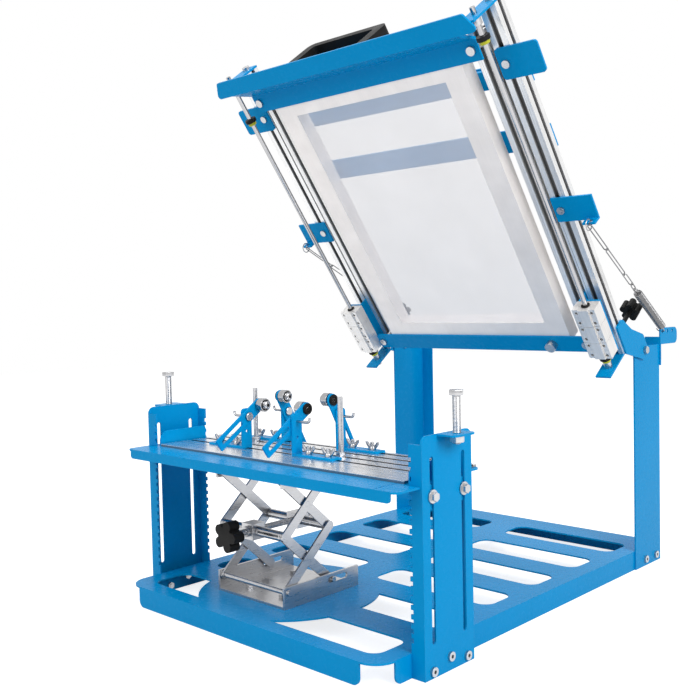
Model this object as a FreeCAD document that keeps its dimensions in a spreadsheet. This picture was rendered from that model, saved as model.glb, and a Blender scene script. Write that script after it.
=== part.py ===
import FreeCAD, Part
import math
import os
import re
import Sketcher

from FreeCAD import Vector

# Tabletop screen printing press. Millimetres, Z up, on the floor, front towards -Y.
# Pieces on the base are drawn from the middle of the base tray. The swinging arm is drawn level, with
# the hinge axis as its origin, and is then turned up by arm_angle. In that level drawing "reach" runs
# forward from the hinge and "rise" runs up from the guide rod axis. Everything is moved back by
# middle_y at the end, so that the origin is under the middle of the whole press.

SIZES = {
    # base tray
    "tray_width": 400, "tray_depth": 575, "tray_height": 24, "wall": 2, "tray_round": 24,
    "flange_round": 8, "slot_rows": 6, "slot_pitch": 92, "slot_depth": 50, "slot_border": 22,
    "slot_front_border": 21, "slot_round": 14, "spine_x": -10, "spine_half": 22, "disc_x": -30,
    "disc_y": -180, "disc_radius": 105,
    # front posts
    "front_post_front": -240, "front_post_width": 78, "front_post_height": 230, "front_post_lip": 16,
    "post_slot_inset": 14.5, "post_slot_width": 5.6, "post_slot_low": 35, "post_slot_high": 207,
    "post_round": 8, "tooth_pitch": 9, "tooth_size": 3, "tooth_low": 34, "tooth_rows": 20,
    "tab_reach": 24, "tab_width": 34, "tab_corner": 6,
    # rear posts
    "rear_post_front": 217.5, "rear_post_height": 290, "rear_post_lip": 20, "rear_post_round": 3,
    # screws of the frame
    "screw_radius": 2.4, "screw_head_radius": 4.6, "screw_head_height": 2.8, "screw_length": 23,
    "short_screw_length": 9, "nut_radius": 4.6, "nut_height": 4, "low_screw_height": 7,
    "raised_screw_height": 14, "front_screw_spread": 27, "rear_screw_front": 245, "rear_screw_back": 275,
    "rear_screw_height": 9,
    # stop bolts
    "stop_x": 227, "stop_y": -200, "stop_top": 271, "stop_bolt_radius": 4, "stop_head_radius": 7.5,
    "stop_head_height": 5.3, "stop_bolt_length": 46, "stop_nut_height": 6.5,
    # scissor jack
    "jack_x": -36, "jack_half": 56, "jack_front": -235, "jack_depth": 118, "jack_plate": 3,
    "jack_pivot_y": -228, "jack_low_z": 41, "jack_bar": 92, "jack_angle": 41.5, "jack_bar_wide": 11,
    "jack_bar_thick": 2.3, "jack_lug_thick": 2.5, "jack_gap": 0.4, "jack_rod_radius": 3,
    "jack_rod_over": 2, "jack_lug_over": 7, "jack_slot_over": 3, "jack_top_z": 181, "block_half": 9,
    "jack_screw_radius": 3.5, "jack_screw_reach": 128, "jack_screw_rear": 35, "jack_collar_radius": 6,
    "jack_collar_length": 4, "jack_knob_radius": 17.5, "jack_knob_thick": 14, "jack_down_angle": 21.5,
    "jack_up_angle": 1.5,
    # platform on the jack, and the slotted plate on it
    "platform_z": 183, "platform_half": 213.6, "platform_neck": 198.5, "platform_front": -274,
    "platform_rear": -121, "platform_lip": 11, "platform_round": 8, "ear_low": 160, "ear_inset": 4,
    "ear_bolt_z": 172.5, "ear_high": 201, "ear_high_round": 12, "slit_x": 183.5,
    "slit_width": 1.5, "slit_inset": 4, "ear_bolt_length": 12, "ear_washer_radius": 6.5,
    "ear_washer_thick": 1.6,
    "plate_half": 193, "plate_front": -238, "plate_rear": -121.5, "plate_thick": 3, "groove_rows": 4,
    "groove_first": -194, "groove_pitch": 21.33, "groove_width": 6, "groove_depth": 2, "strip_line": -210,
    "strip_line_width": 1.2, "strip_line_depth": 1,
    "stop_rod_radius": 3, "stop_rod_length": 66, "stop_rod_left": -115, "stop_rod_right": 50,
    "rod_nut_radius": 5.6, "rod_nut_height": 5,
    # roller stands
    "stand_left": -82, "stand_right_front": 1, "stand_right_rear": 8, "stand_front": -194,
    "stand_rear": -130, "foot_length": 63, "foot_width": 16, "foot_thick": 2.5, "foot_screw_near": 20,
    "foot_screw_far": 50, "foot_screw_drop": 1.5, "upright_wide": 15, "upright_high": 47,
    "upright_hole_high": 20, "tilt_pivot_high": 37.5, "tilt_thick": 2.5, "tilt_wide": 15,
    "tilt_above": 22, "tilt_below": 54, "front_tilt_angle": 56, "rear_tilt_angle": 28, "tilt_gap": 0.4,
    "tilt_slot_width": 5.5, "tilt_slot_near": 11, "tilt_slot_far": 48, "tilt_corner": 1,
    "tilt_pin_radius": 2.5, "axle_radius": 2.5, "roller_radius": 8, "roller_width": 9, "hub_radius": 5,
    "hub_length": 1.2, "cap_radius": 5, "cap_length": 3, "side_cap_radius": 6.5, "side_screw_radius": 1.6,
    "side_screw_length": 20, "side_screw_bend": 7, "side_grip_radius": 1.9, "wing_radius": 3.8,
    "wing_high": 10, "wing_span": 20, "wing_tip": 4, "wing_dip": 4.5, "wing_thick": 2.2,
    "foot_screw_radius": 2.4, "foot_screw_high": 9,
    # hinge of the swinging arm
    "arm_angle": 53.5, "hinge_y": 241, "hinge_z": 285, "rod_drop": 70, "hinge_gap": 0.4,
    "bracket_thick": 2.5, "hinge_lobe": 9, "hinge_pin_radius": 3, "hinge_head_radius": 5,
    "hinge_head_height": 3.6,
    "bracket_low": 28, "bracket_far": 70, "bracket_waist_reach": 45, "bracket_waist_rise": 57,
    "bracket_leg_start": 36, "bracket_leg_end": 66, "bracket_neck_reach": 19, "bracket_round": 3,
    # rails, rods and end plates of the arm
    "rail_in": 182.4, "rail_size": 20, "rail_low": 25, "rail_start": 30, "rail_end": 497,
    "rail_groove": 6, "rail_groove_depth": 5.5, "rail_bore_radius": 2.5,
    "rod_x": 192.4, "rod_radius": 3, "rod_start": 20, "rod_end": 507, "end_plate": 2.5,
    "end_plate_in": 182, "end_plate_out": 202, "end_plate_low": -19, "end_plate_high": 45,
    "collar_radius": 5, "collar_length": 9, "end_bolt_rise": 35, "end_bolt_radius": 5,
    "end_bolt_height": 4, "bumper_radius": 7.5, "bumper_length": 5, "bumper_ring": 4,
    "bumper_right": 467, "bumper_left": 437,
    # pads under the rails: the front ones meet the stop bolts, the rear ones hold the chains
    "pad_in": 183, "pad_out": 235, "pad_thick": 2.5, "pad_round": 4, "stop_pad_start": 415,
    "stop_pad_end": 451, "chain_pad_start": 232, "chain_pad_end": 264, "chain_lip": 13.5,
    "chain_lip_in": 219, "hook_hole_radius": 3,
    # bars over the screen that hold the squeegee
    "bar_half": 202.4, "bar_thick": 2.5, "bar_fold": 14, "front_bar_start": 399, "front_bar_end": 421,
    "rear_bar_start": 318, "rear_bar_end": 346, "bar_slots": 7, "bar_slot_pitch": 44,
    "bar_slot_length": 24,
    # star knobs of the hinges
    "star_reach": 50, "star_rise": 84, "star_radius": 13, "star_thick": 15, "star_screw_radius": 3,
    "star_waist_share": 0.62, "star_lobe_share": 0.34, "star_offset_share": 0.66,
    # sliding carriage
    "block_out": 15, "block_low": 11, "block_high": 9, "block_length": 24.8, "block_pitch": 25.2,
    "block_start": 51, "block_count": 3, "block_hump": 7, "block_hump_high": 2, "running_gap": 0.06,
    "hole_spread_x": 20, "hole_spread_y": 15, "block_screw_radius": 2,
    "angle_web_in": 179, "angle_high": 43, "inner_in": 159, "inner_low": 24, "inner_start": 48,
    "inner_end": 474,
    "frame_half": 148, "frame_member": 29, "frame_low": 10, "frame_high": 30, "frame_start": 63,
    "frame_end": 461, "mesh_thick": 0.6, "cross_half": 177.3, "cross_thick": 2.5, "rear_cross_start": 47,
    "rear_cross_end": 71, "front_cross_start": 448, "front_cross_end": 474, "front_plate_start": 488,
    "front_plate_end": 509, "front_plate_half": 205, "front_plate_low": 22, "front_plate_slant": 12,
    "cross_bolt_x": 168, "cross_bolt_rear": 59, "cross_bolt_front": 461, "cross_bolt_radius": 3,
    "cross_head_radius": 5.2, "cross_head_height": 3.2, "cross_spacer_radius": 5.5,
    "thumb_x": 120, "thumb_radius": 7, "thumb_length": 9,
    # handle
    "handle_half": 62, "handle_reach": 502, "handle_rise": 30, "handle_wide": 13, "handle_thick": 11,
    "handle_leg": 14, "handle_round": 5,
    # counterbalance springs, hooks and chains
    "anchor_y": 296, "anchor_z": 307, "anchor_end": 341, "anchor_low": 290,
    "anchor_high": 312, "anchor_leg_in": 182, "anchor_leg_low": 262, "anchor_leg_high": 300,
    "anchor_hole_pitch": 15,
    "anchor_holes": 3, "hook_x": 228, "hook_rise": 16, "wire": 1.4,
    "coil_radius": 4.8, "coil_pitch": 2.05, "coils": 46, "spring_start": 10, "coil_lead": 6, "tail": 3,
    "eye_radius": 4.6, "ring_radius": 6.5, "link_radius": 2.6, "link_gap": 0.45, "chain_slack": 3.8,
    "first_link": 14, "second_link": 28, "third_link": 62,
    # shared
    "head_gap": 0.3, "overrun": 1, "nearly_half_share": 0.49, "upright_round_share": 0.3,
    "lobe_round_share": 0.9, "foot_nut_front_share": 0.2, "foot_nut_rear_share": 0.8,
}

doc = FreeCAD.newDocument("press")
sheet = doc.addObject("Spreadsheet::Sheet", "Sizes")
for row, (name, number) in enumerate(SIZES.items(), start=1):
    sheet.set("A%d" % row, name)
    sheet.set("B%d" % row, str(number))
    sheet.setAlias("B%d" % row, name)
doc.recompute()

NODES = []
X_AXIS, Y_AXIS, Z_AXIS = Vector(1, 0, 0), Vector(0, 1, 0), Vector(0, 0, 1)
SIDES = {"left": "-1", "right": "1"}
ROLES = {"xy": "XY_Plane", "xz": "XZ_Plane", "yz": "YZ_Plane"}
TURNS = {
    "x": FreeCAD.Rotation(Y_AXIS, 90),
    "y": FreeCAD.Rotation(X_AXIS, -90),
    "z": FreeCAD.Rotation(),
}
MIDDLE_Y = "(anchor_end - tray_depth / 2) / 2"


# Reading and binding the sizes

def bound(formula):
    """A formula in the sheet's names, written so that any object of the document can use it."""
    return re.sub(r"[a-z][a-z_]+", lambda word: "Sizes." + word.group(0)
                  if word.group(0) in SIZES else word.group(0), formula)


def size(formula):
    """The number that a formula in the sheet's names comes to."""
    return float(sheet.evalExpression(bound(formula)))


def place(item, at):
    """Binds the place of an object."""
    for axis, formula in zip("xyz", at):
        item.setExpression("Placement.Base." + axis, bound(formula))
    return item


def tilt(item, angle):
    """Binds the turn of an object about the X axis."""
    item.Placement = FreeCAD.Placement(Vector(), FreeCAD.Rotation(X_AXIS, size(angle)))
    item.setExpression("Placement.Rotation.Angle", bound(angle))
    return item


def keep(item, arm=False):
    """Sets one of the press's own pieces in its place, as part of the base or of the swinging arm."""
    item.Label = item.Name
    NODES.append(item)
    if arm:
        tilt(item, "-arm_angle")
        return place(item, ("0", "hinge_y - " + MIDDLE_Y, "hinge_z"))
    return place(item, ("0", "-" + MIDDLE_Y, "0"))


# Pieces made from primitives

def block(name, sizes, corner):
    """A bound box: its size along each axis, then its lowest corner."""
    item = doc.addObject("Part::Box", name)
    for side, formula in zip(("Length", "Width", "Height"), sizes):
        item.setExpression(side, bound(formula))
    return place(item, corner)


def pin(name, radius, length, start, axis="z"):
    """A bound cylinder that runs from start along one axis."""
    item = doc.addObject("Part::Cylinder", name)
    item.setExpression("Radius", bound(radius))
    item.setExpression("Height", bound(length))
    item.Placement = FreeCAD.Placement(Vector(), TURNS[axis])
    return place(item, start)


def hexagon(name, radius, length, start, axis="z"):
    """A bound hexagon prism, such as a nut or a bolt head."""
    item = doc.addObject("Part::Prism", name)
    item.Polygon = 6
    item.setExpression("Circumradius", bound(radius))
    item.setExpression("Height", bound(length))
    item.Placement = FreeCAD.Placement(Vector(), TURNS[axis])
    return place(item, start)


def join(name, pieces):
    item = doc.addObject("Part::MultiFuse", name)
    item.Shapes = pieces
    return item


def cut(name, base, tools):
    item = doc.addObject("Part::Cut", name)
    item.Base = base
    item.Tool = tools[0] if len(tools) == 1 else join(name + "_tools", tools)
    return item


def group(name, pieces):
    """Several separate solids that share one node."""
    item = doc.addObject("Part::Compound", name)
    item.Links = pieces
    return item


def solid(name, shape):
    """A shape made by Part's own functions."""
    item = doc.addObject("Part::Feature", name)
    item.Shape = shape
    return item


# Pieces made from sketches

def sketch_on(owner, view, name, depth):
    """A sketch on one of the body's own planes, moved along that plane's normal."""
    sketch = owner.newObject("Sketcher::SketchObject", name)
    own = [item for item in owner.Origin.OriginFeatures if item.Role == ROLES[view]]
    sketch.AttachmentSupport = [(own[0], "")]
    sketch.MapMode = "FlatFace"
    sketch.setExpression("AttachmentOffset.Base.z", bound(depth))
    return sketch


def fix(sketch, geometry, point, across, up):
    """Holds a point of a sketch at a bound place."""
    for kind, axis, formula in (("DistanceX", -2, across), ("DistanceY", -1, up)):
        if size(formula) == 0:
            sketch.addConstraint(Sketcher.Constraint("PointOnObject", geometry, point, axis))
            continue
        held = sketch.addConstraint(Sketcher.Constraint(kind, -1, 1, geometry, point, size(formula)))
        sketch.setExpression("Constraints[%d]" % held, bound(formula))


def draw(sketch, corners, circles):
    """Draws a closed outline through the corners, and the circles, each as across, up and radius."""
    first = sketch.GeometryCount
    spots = [Vector(size(corner[0]), size(corner[1]), 0) for corner in corners]
    for index, spot in enumerate(spots):
        sketch.addGeometry(Part.LineSegment(spot, spots[(index + 1) % len(spots)]), False)
    for index, corner in enumerate(corners):
        following = first + (index + 1) % len(corners)
        sketch.addConstraint(Sketcher.Constraint("Coincident", first + index, 2, following, 1))
        fix(sketch, first + index, 1, corner[0], corner[1])
    for across, up, radius in circles:
        middle = Vector(size(across), size(up), 0)
        ring = sketch.addGeometry(Part.Circle(middle, Z_AXIS, size(radius)), False)
        fix(sketch, ring, 3, across, up)
        held = sketch.addConstraint(Sketcher.Constraint("Radius", ring, size(radius)))
        sketch.setExpression("Constraints[%d]" % held, bound(radius))


def body(name):
    return doc.addObject("PartDesign::Body", name)


def pad(owner, view, name, corners, thick, start="0", circles=()):
    """Adds a plate to a body. A corner's third value is the radius that rounds it.

    The start is measured along X for the yz view, along -Y for the xz view, and along Z for the xy view.
    """
    sketch = sketch_on(owner, view, name + "_outline", start)
    draw(sketch, corners, circles)
    feature = owner.newObject("PartDesign::Pad", name)
    feature.Profile = sketch
    feature.setExpression("Length", bound(thick))
    owner.Tip = feature
    doc.recompute()
    along = {"xy": 2, "xz": 1, "yz": 0}[view]
    kept = [axis for axis in range(3) if axis != along]
    low = size(start)
    span = sorted((low, low + size(thick)))
    if view == "xz":
        span = [-span[1], -span[0]]
    radii = []
    for corner in corners:
        if len(corner) > 2 and corner[2] not in radii:
            radii.append(corner[2])
    for number, radius in enumerate(radii):
        spots = [(size(c[0]), size(c[1])) for c in corners if len(c) > 2 and c[2] == radius]
        found = []
        for index, edge in enumerate(owner.Tip.Shape.Edges, start=1):
            ends = [vertex.Point for vertex in edge.Vertexes]
            if len(ends) != 2:
                continue
            inside = all(span[0] - 1e-4 < end[along] < span[1] + 1e-4 for end in ends)
            for spot in spots:
                near = [abs(end[kept[0]] - spot[0]) + abs(end[kept[1]] - spot[1]) < 1e-4 for end in ends]
                if inside and all(near):
                    found.append("Edge%d" % index)
        base = owner.Tip
        rounding = owner.newObject("PartDesign::Fillet", "%s_round_%d" % (name, number + 1))
        rounding.Base = (base, found)
        rounding.setExpression("Radius", bound(radius))
        owner.Tip = rounding
        doc.recompute()
    return feature


def pocket(owner, view, name, corners=(), circles=(), start="0", deep=None):
    """Cuts a body right through, or only so deep against the plane's normal."""
    sketch = sketch_on(owner, view, name + "_outline", start)
    draw(sketch, corners, circles)
    feature = owner.newObject("PartDesign::Pocket", name)
    feature.Profile = sketch
    if deep is None:
        feature.Type = "ThroughAll"
        feature.SideType = "Symmetric"
    else:
        feature.setExpression("Length", bound(deep))
    owner.Tip = feature
    return feature


def repeat(owner, name, features, axis, step, count):
    """Repeats features of a body along one of its own axes."""
    pattern = owner.newObject("PartDesign::LinearPattern", name)
    pattern.Originals = features
    line = [item for item in owner.Origin.OriginFeatures if item.Role == axis + "_Axis"]
    pattern.Direction = (line[0], [""])
    pattern.setExpression("Length", bound("(%s) * (%s - 1)" % (step, count)))
    pattern.setExpression("Occurrences", bound(count))
    owner.Tip = pattern
    return pattern


def box_of(low_x, low_y, high_x, high_y, round_by=None):
    """The corners of a rectangle."""
    spots = ((low_x, low_y), (high_x, low_y), (high_x, high_y), (low_x, high_y))
    return [spot + ((round_by,) if round_by else ()) for spot in spots]


def mirrored(sign, low, thick):
    """Where a plate of this thickness starts along X, on the side that sign gives."""
    return low if sign == "1" else "-(%s) - (%s)" % (low, thick)


# Base tray

tray = body("tray_sheet")
pad(tray, "xy", "tray_top", box_of("-tray_width / 2", "-tray_depth / 2", "tray_width / 2",
                                   "tray_depth / 2")[2:] + [
    ("-tray_width / 2", "-tray_depth / 2", "tray_round"),
    ("tray_width / 2", "-tray_depth / 2", "tray_round")],
    "wall", "tray_height - wall")
pad(tray, "xz", "tray_front", [
    ("-tray_width / 2 + tray_round", "0", "flange_round"),
    ("tray_width / 2 - tray_round", "0", "flange_round"),
    ("tray_width / 2 - tray_round", "tray_height"),
    ("-tray_width / 2 + tray_round", "tray_height")],
    "wall", "tray_depth / 2 - wall")
pad(tray, "xz", "tray_back", box_of("-tray_width / 2", "0", "tray_width / 2", "tray_height"),
    "wall", "-tray_depth / 2")
for side, sign in SIDES.items():
    pad(tray, "yz", "tray_" + side, [
        ("-tray_depth / 2 + tray_round", "0", "flange_round"),
        ("tray_depth / 2", "0"),
        ("tray_depth / 2", "tray_height"),
        ("-tray_depth / 2 + tray_round", "tray_height")],
        "wall", mirrored(sign, "tray_width / 2 - wall", "wall"))
slots = []
for row in range(int(size("slot_rows"))):
    low_y = "(-tray_depth / 2 + slot_front_border + %d * slot_pitch)" % row
    for side, sign in SIDES.items():
        near = "spine_x + %s * spine_half" % sign
        far = "%s * (tray_width / 2 - slot_border)" % sign
        name = "tray_slot_%s_%d" % (side, row + 1)
        length = "%s * ((%s) - (%s)) - slot_round * 2" % (sign, far, near)
        start = "%s + slot_round" % (near if sign == "1" else far)
        narrow = block(name + "_middle", (length, "slot_depth", "wall * 2"),
                       (start, low_y, "tray_height - wall - overrun"))
        wide = block(name + "_ends",
                     (length + " + slot_round * 2", "slot_depth - slot_round * 2", "wall * 2"),
                     (start + " - slot_round", low_y + " + slot_round", "tray_height - wall - overrun"))
        ends = [pin("%s_corner_%d" % (name, spot), "slot_round", "wall * 2", (
            start + (" + " + length if spot % 2 else ""),
            low_y + (" + slot_depth - slot_round" if spot > 1 else " + slot_round"),
            "tray_height - wall - overrun")) for spot in range(4)]
        slots.append(join(name, [narrow, wide] + ends))
disc = pin("tray_disc", "disc_radius", "wall * 4", ("disc_x", "disc_y", "tray_height - wall * 3"))
slots = cut("tray_slots_round_disc", group("tray_slots", slots), [disc])
tray_screws = []
for side, sign in SIDES.items():
    start = mirrored(sign, "tray_width / 2 - wall - overrun", "wall + overrun * 2")
    for number, (spot, high) in enumerate((
            ("front_post_front + front_post_width / 2 - front_screw_spread", "low_screw_height"),
            ("front_post_front + front_post_width / 2", "raised_screw_height"),
            ("front_post_front + front_post_width / 2 + front_screw_spread", "low_screw_height"),
            ("rear_screw_front", "rear_screw_height"), ("rear_screw_back", "rear_screw_height"))):
        tray_screws.append(pin("tray_hole_%s_%d" % (side, number + 1), "screw_radius",
                               "wall + overrun * 2", (start, spot, high), "x"))
keep(cut("base_tray", tray, [slots] + tray_screws))

# Front posts: channels that stand outside the tray, with a tab on top for the stop bolt

for side, sign in SIDES.items():
    post = body("front_post_" + side)
    web = "tray_width / 2 + front_post_lip - wall"
    pad(post, "yz", "front_web_" + side, [
        ("front_post_front", "0"),
        ("front_post_front + front_post_width", "0"),
        ("front_post_front + front_post_width", "front_post_height", "post_round"),
        ("front_post_front", "front_post_height", "post_round")],
        "wall", mirrored(sign, web, "wall"))
    low, high = ("tray_width / 2", "tray_width / 2 + front_post_lip")
    if sign == "-1":
        low, high = ("-" + high.replace("+", "-"), "-" + low)
    for number, start in enumerate(("-front_post_front - wall",
                                    "-front_post_front - front_post_width")):
        pad(post, "xz", "front_lip_%s_%d" % (side, number + 1),
            box_of(low, "0", high, "front_post_height - post_round"), "wall", start)
    inner = "%s * tray_width / 2" % sign
    notch = pocket(post, "xz", "tooth_" + side, box_of(
        inner + " - overrun" if sign == "1" else inner + " - tooth_size", "tooth_low",
        inner + " + tooth_size" if sign == "1" else inner + " + overrun", "tooth_low + tooth_pitch / 2"))
    repeat(post, "teeth_" + side, [notch], "Z", "tooth_pitch", "tooth_rows")
    pad(post, "xy", "front_tab_" + side, [
        (sign + " * (tray_width / 2 + front_post_lip - wall)", "stop_y - tab_width / 2"),
        (sign + " * (tray_width / 2 + front_post_lip - wall + tab_reach)", "stop_y - tab_width / 2",
         "tab_corner"),
        (sign + " * (tray_width / 2 + front_post_lip - wall + tab_reach)", "stop_y + tab_width / 2",
         "tab_corner"),
        (sign + " * (tray_width / 2 + front_post_lip - wall)", "stop_y + tab_width / 2")],
        "wall", "front_post_height - wall")
    pocket(post, "xy", "front_tab_hole_" + side,
           circles=[(sign + " * stop_x", "stop_y", "stop_bolt_radius + running_gap")])
    for number, middle in enumerate((
            "front_post_front + post_slot_inset",
            "front_post_front + front_post_width - post_slot_inset")):
        name = "post_slot_%s_%d" % (side, number + 1)
        half = "post_slot_width / 2"
        pocket(post, "yz", name, box_of("%s - %s" % (middle, half), "post_slot_low",
                                        "%s + %s" % (middle, half), "post_slot_high"))
        pocket(post, "yz", name + "_ends", circles=[(middle, "post_slot_low", half)])
        pocket(post, "yz", name + "_top", circles=[(middle, "post_slot_high", half)])
    pocket(post, "yz", "front_screw_holes_" + side, circles=[
        ("front_post_front + front_post_width / 2 - front_screw_spread", "low_screw_height",
         "screw_radius"),
        ("front_post_front + front_post_width / 2", "raised_screw_height", "screw_radius"),
        ("front_post_front + front_post_width / 2 + front_screw_spread", "low_screw_height",
         "screw_radius")])
    keep(post)

# Rear posts: angles that carry the hinge of the arm

for side, sign in SIDES.items():
    post = body("rear_post_" + side)
    pad(post, "yz", "rear_web_" + side, [
        ("rear_post_front", "0"),
        ("tray_depth / 2 + wall", "0"),
        ("tray_depth / 2 + wall", "rear_post_height"),
        ("rear_post_front", "rear_post_height", "rear_post_round")],
        "wall", mirrored(sign, "tray_width / 2", "wall"),
        circles=[("hinge_y", "hinge_z", "hinge_pin_radius"),
                 ("rear_screw_front", "rear_screw_height", "screw_radius"),
                 ("rear_screw_back", "rear_screw_height", "screw_radius")])
    low, high = ("tray_width / 2 - rear_post_lip", "tray_width / 2 + wall")
    if sign == "-1":
        low, high = ("-tray_width / 2 - wall", "-tray_width / 2 + rear_post_lip")
    pad(post, "xz", "rear_lip_" + side, box_of(low, "0", high, "rear_post_height"),
        "wall", "-tray_depth / 2 - wall")
    keep(post)

# Screws of the frame, hinge bolts and the nuts of the stop bolts

pieces = []
for side, sign in SIDES.items():
    outer = "tray_width / 2 + front_post_lip"
    for number, (spot, high) in enumerate((
            ("front_post_front + front_post_width / 2 - front_screw_spread", "low_screw_height"),
            ("front_post_front + front_post_width / 2", "raised_screw_height"),
            ("front_post_front + front_post_width / 2 + front_screw_spread", "low_screw_height"))):
        name = "frame_screw_%s_%d" % (side, number + 1)
        head = pin(name + "_head", "screw_head_radius", "screw_head_height",
                   (mirrored(sign, outer, "screw_head_height"), spot, high), "x")
        shank = pin(name + "_shank", "screw_radius", "screw_length",
                    (mirrored(sign, outer + " - screw_length", "screw_length"), spot, high), "x")
        nut = hexagon(name + "_nut", "nut_radius", "nut_height",
                      (mirrored(sign, "tray_width / 2 - wall - nut_height", "nut_height"), spot, high), "x")
        pieces.append(join(name, [head, shank, nut]))
    outer = "tray_width / 2 + wall"
    for number, spot in enumerate(("rear_screw_front", "rear_screw_back")):
        name = "rear_screw_%s_%d" % (side, number + 1)
        head = pin(name + "_head", "screw_head_radius", "screw_head_height",
                   (mirrored(sign, outer, "screw_head_height"), spot, "rear_screw_height"), "x")
        shank = pin(name + "_shank", "screw_radius", "short_screw_length",
                    (mirrored(sign, outer + " - short_screw_length", "short_screw_length"), spot,
                     "rear_screw_height"), "x")
        nut = hexagon(name + "_nut", "nut_radius", "nut_height", (
            mirrored(sign, "tray_width / 2 - wall - nut_height", "nut_height"), spot,
            "rear_screw_height"), "x")
        pieces.append(join(name, [head, shank, nut]))
    name = "hinge_bolt_" + side
    face = "tray_width / 2 + wall + hinge_gap + bracket_thick + head_gap"
    head = hexagon(name + "_head", "hinge_head_radius", "hinge_head_height",
                   (mirrored(sign, face, "hinge_head_height"), "hinge_y", "hinge_z"), "x")
    length = "wall * 2 + hinge_gap + bracket_thick + head_gap + nut_height"
    shank = pin(name + "_shank", "hinge_pin_radius", length,
                (mirrored(sign, "tray_width / 2 - wall - nut_height", length), "hinge_y", "hinge_z"), "x")
    nut = hexagon(name + "_nut", "hinge_head_radius", "nut_height",
                  (mirrored(sign, "tray_width / 2 - nut_height", "nut_height"), "hinge_y", "hinge_z"), "x")
    pieces.append(join(name, [head, shank, nut]))
    name = "stop_nut_" + side
    nut_low = "front_post_height - wall - stop_nut_height"
    nut = hexagon(name + "_hexagon", "stop_head_radius", "stop_nut_height",
                  (sign + " * stop_x", "stop_y", nut_low))
    hole = pin(name + "_hole", "stop_bolt_radius + running_gap", "stop_nut_height + overrun * 2",
               (sign + " * stop_x", "stop_y", nut_low + " - overrun"))
    pieces.append(cut(name, nut, [hole]))
keep(group("frame_screws", pieces))

for side, sign in SIDES.items():
    name = "stop_bolt_" + side
    head = hexagon(name + "_head", "stop_head_radius", "stop_head_height",
                   (sign + " * stop_x", "stop_y", "stop_top - stop_head_height"))
    shank = pin(name + "_shank", "stop_bolt_radius", "stop_bolt_length",
                (sign + " * stop_x", "stop_y", "stop_top - stop_head_height - stop_bolt_length"))
    keep(join(name, [head, shank]))

# Anchors of the counterbalance springs, behind the rear posts

pieces = []
for side, sign in SIDES.items():
    anchor = body("anchor_" + side)
    low, high = ("anchor_leg_in", "tray_width / 2 + wall * 2")
    if sign == "-1":
        low, high = ("-tray_width / 2 - wall * 2", "-anchor_leg_in")
    pad(anchor, "xz", "anchor_leg_" + side, box_of(low, "anchor_leg_low", high, "anchor_leg_high"),
        "wall", "-tray_depth / 2 - wall * 2")
    holes = ["anchor_y + anchor_hole_pitch * %d" % spot for spot in range(int(size("anchor_holes")))]
    pad(anchor, "yz", "anchor_arm_" + side, [
        ("tray_depth / 2 + wall", "anchor_low"),
        ("anchor_end", "anchor_low", "post_round"),
        ("anchor_end", "anchor_high", "post_round"),
        ("tray_depth / 2 + wall", "anchor_high")],
        "wall", mirrored(sign, "tray_width / 2 + wall", "wall"),
        circles=[(spot, "anchor_z", "hook_hole_radius - wall / 4") for spot in holes])
    pieces.append(anchor)
keep(group("spring_anchors", pieces))

# Scissor jack. Each bar is drawn along Y from its first pivot and then turned up or down.

JACK_RISE = "jack_bar * sin(jack_angle)"
JACK_RUN = "jack_bar * cos(jack_angle)"
MIDDLE_Z = "jack_low_z + " + JACK_RISE
TOP_Z = "jack_low_z + %s * 2" % JACK_RISE
BACK_Y = "jack_pivot_y + " + JACK_RUN
LAYERS = ("jack_half - jack_lug_thick - jack_gap - jack_bar_thick",
          "jack_half - jack_lug_thick - jack_gap * 2 - jack_bar_thick * 2")


def jack_plate(name, low_z, high_z, plate_low, slot_z):
    """A flat plate with a lug along each side, which holds a pivot in front and a slide behind."""
    owner = body(name)
    pad(owner, "xy", name + "_flat", box_of(
        "jack_x - jack_half", "jack_front", "jack_x + jack_half", "jack_front + jack_depth"),
        "jack_plate", plate_low)
    first = "jack_pivot_y + jack_bar * cos(jack_angle + jack_up_angle) - jack_slot_over"
    last = "jack_pivot_y + jack_bar * cos(jack_angle - jack_down_angle) + jack_slot_over"
    for side, sign in SIDES.items():
        start = "jack_x + " + mirrored(sign, "jack_half - jack_lug_thick", "jack_lug_thick")
        pad(owner, "yz", "%s_lug_%s" % (name, side), box_of(
            "jack_front", low_z, "jack_front + jack_depth", high_z), "jack_lug_thick", start)
    pocket(owner, "yz", name + "_pivot", circles=[("jack_pivot_y", slot_z, "jack_rod_radius")])
    wide = "(jack_rod_radius + running_gap * 2)"
    pocket(owner, "yz", name + "_slot", box_of(first, "%s - %s" % (slot_z, wide), last,
                                               "%s + %s" % (slot_z, wide)))
    pocket(owner, "yz", name + "_slot_front", circles=[(first, slot_z, wide)])
    pocket(owner, "yz", name + "_slot_back", circles=[(last, slot_z, wide)])
    return owner


def jack_rod(name, at_y, at_z):
    """A rod across the whole jack."""
    return pin(name, "jack_rod_radius", "(jack_half + jack_rod_over) * 2",
               ("jack_x - jack_half - jack_rod_over", at_y, at_z), "x")


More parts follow.
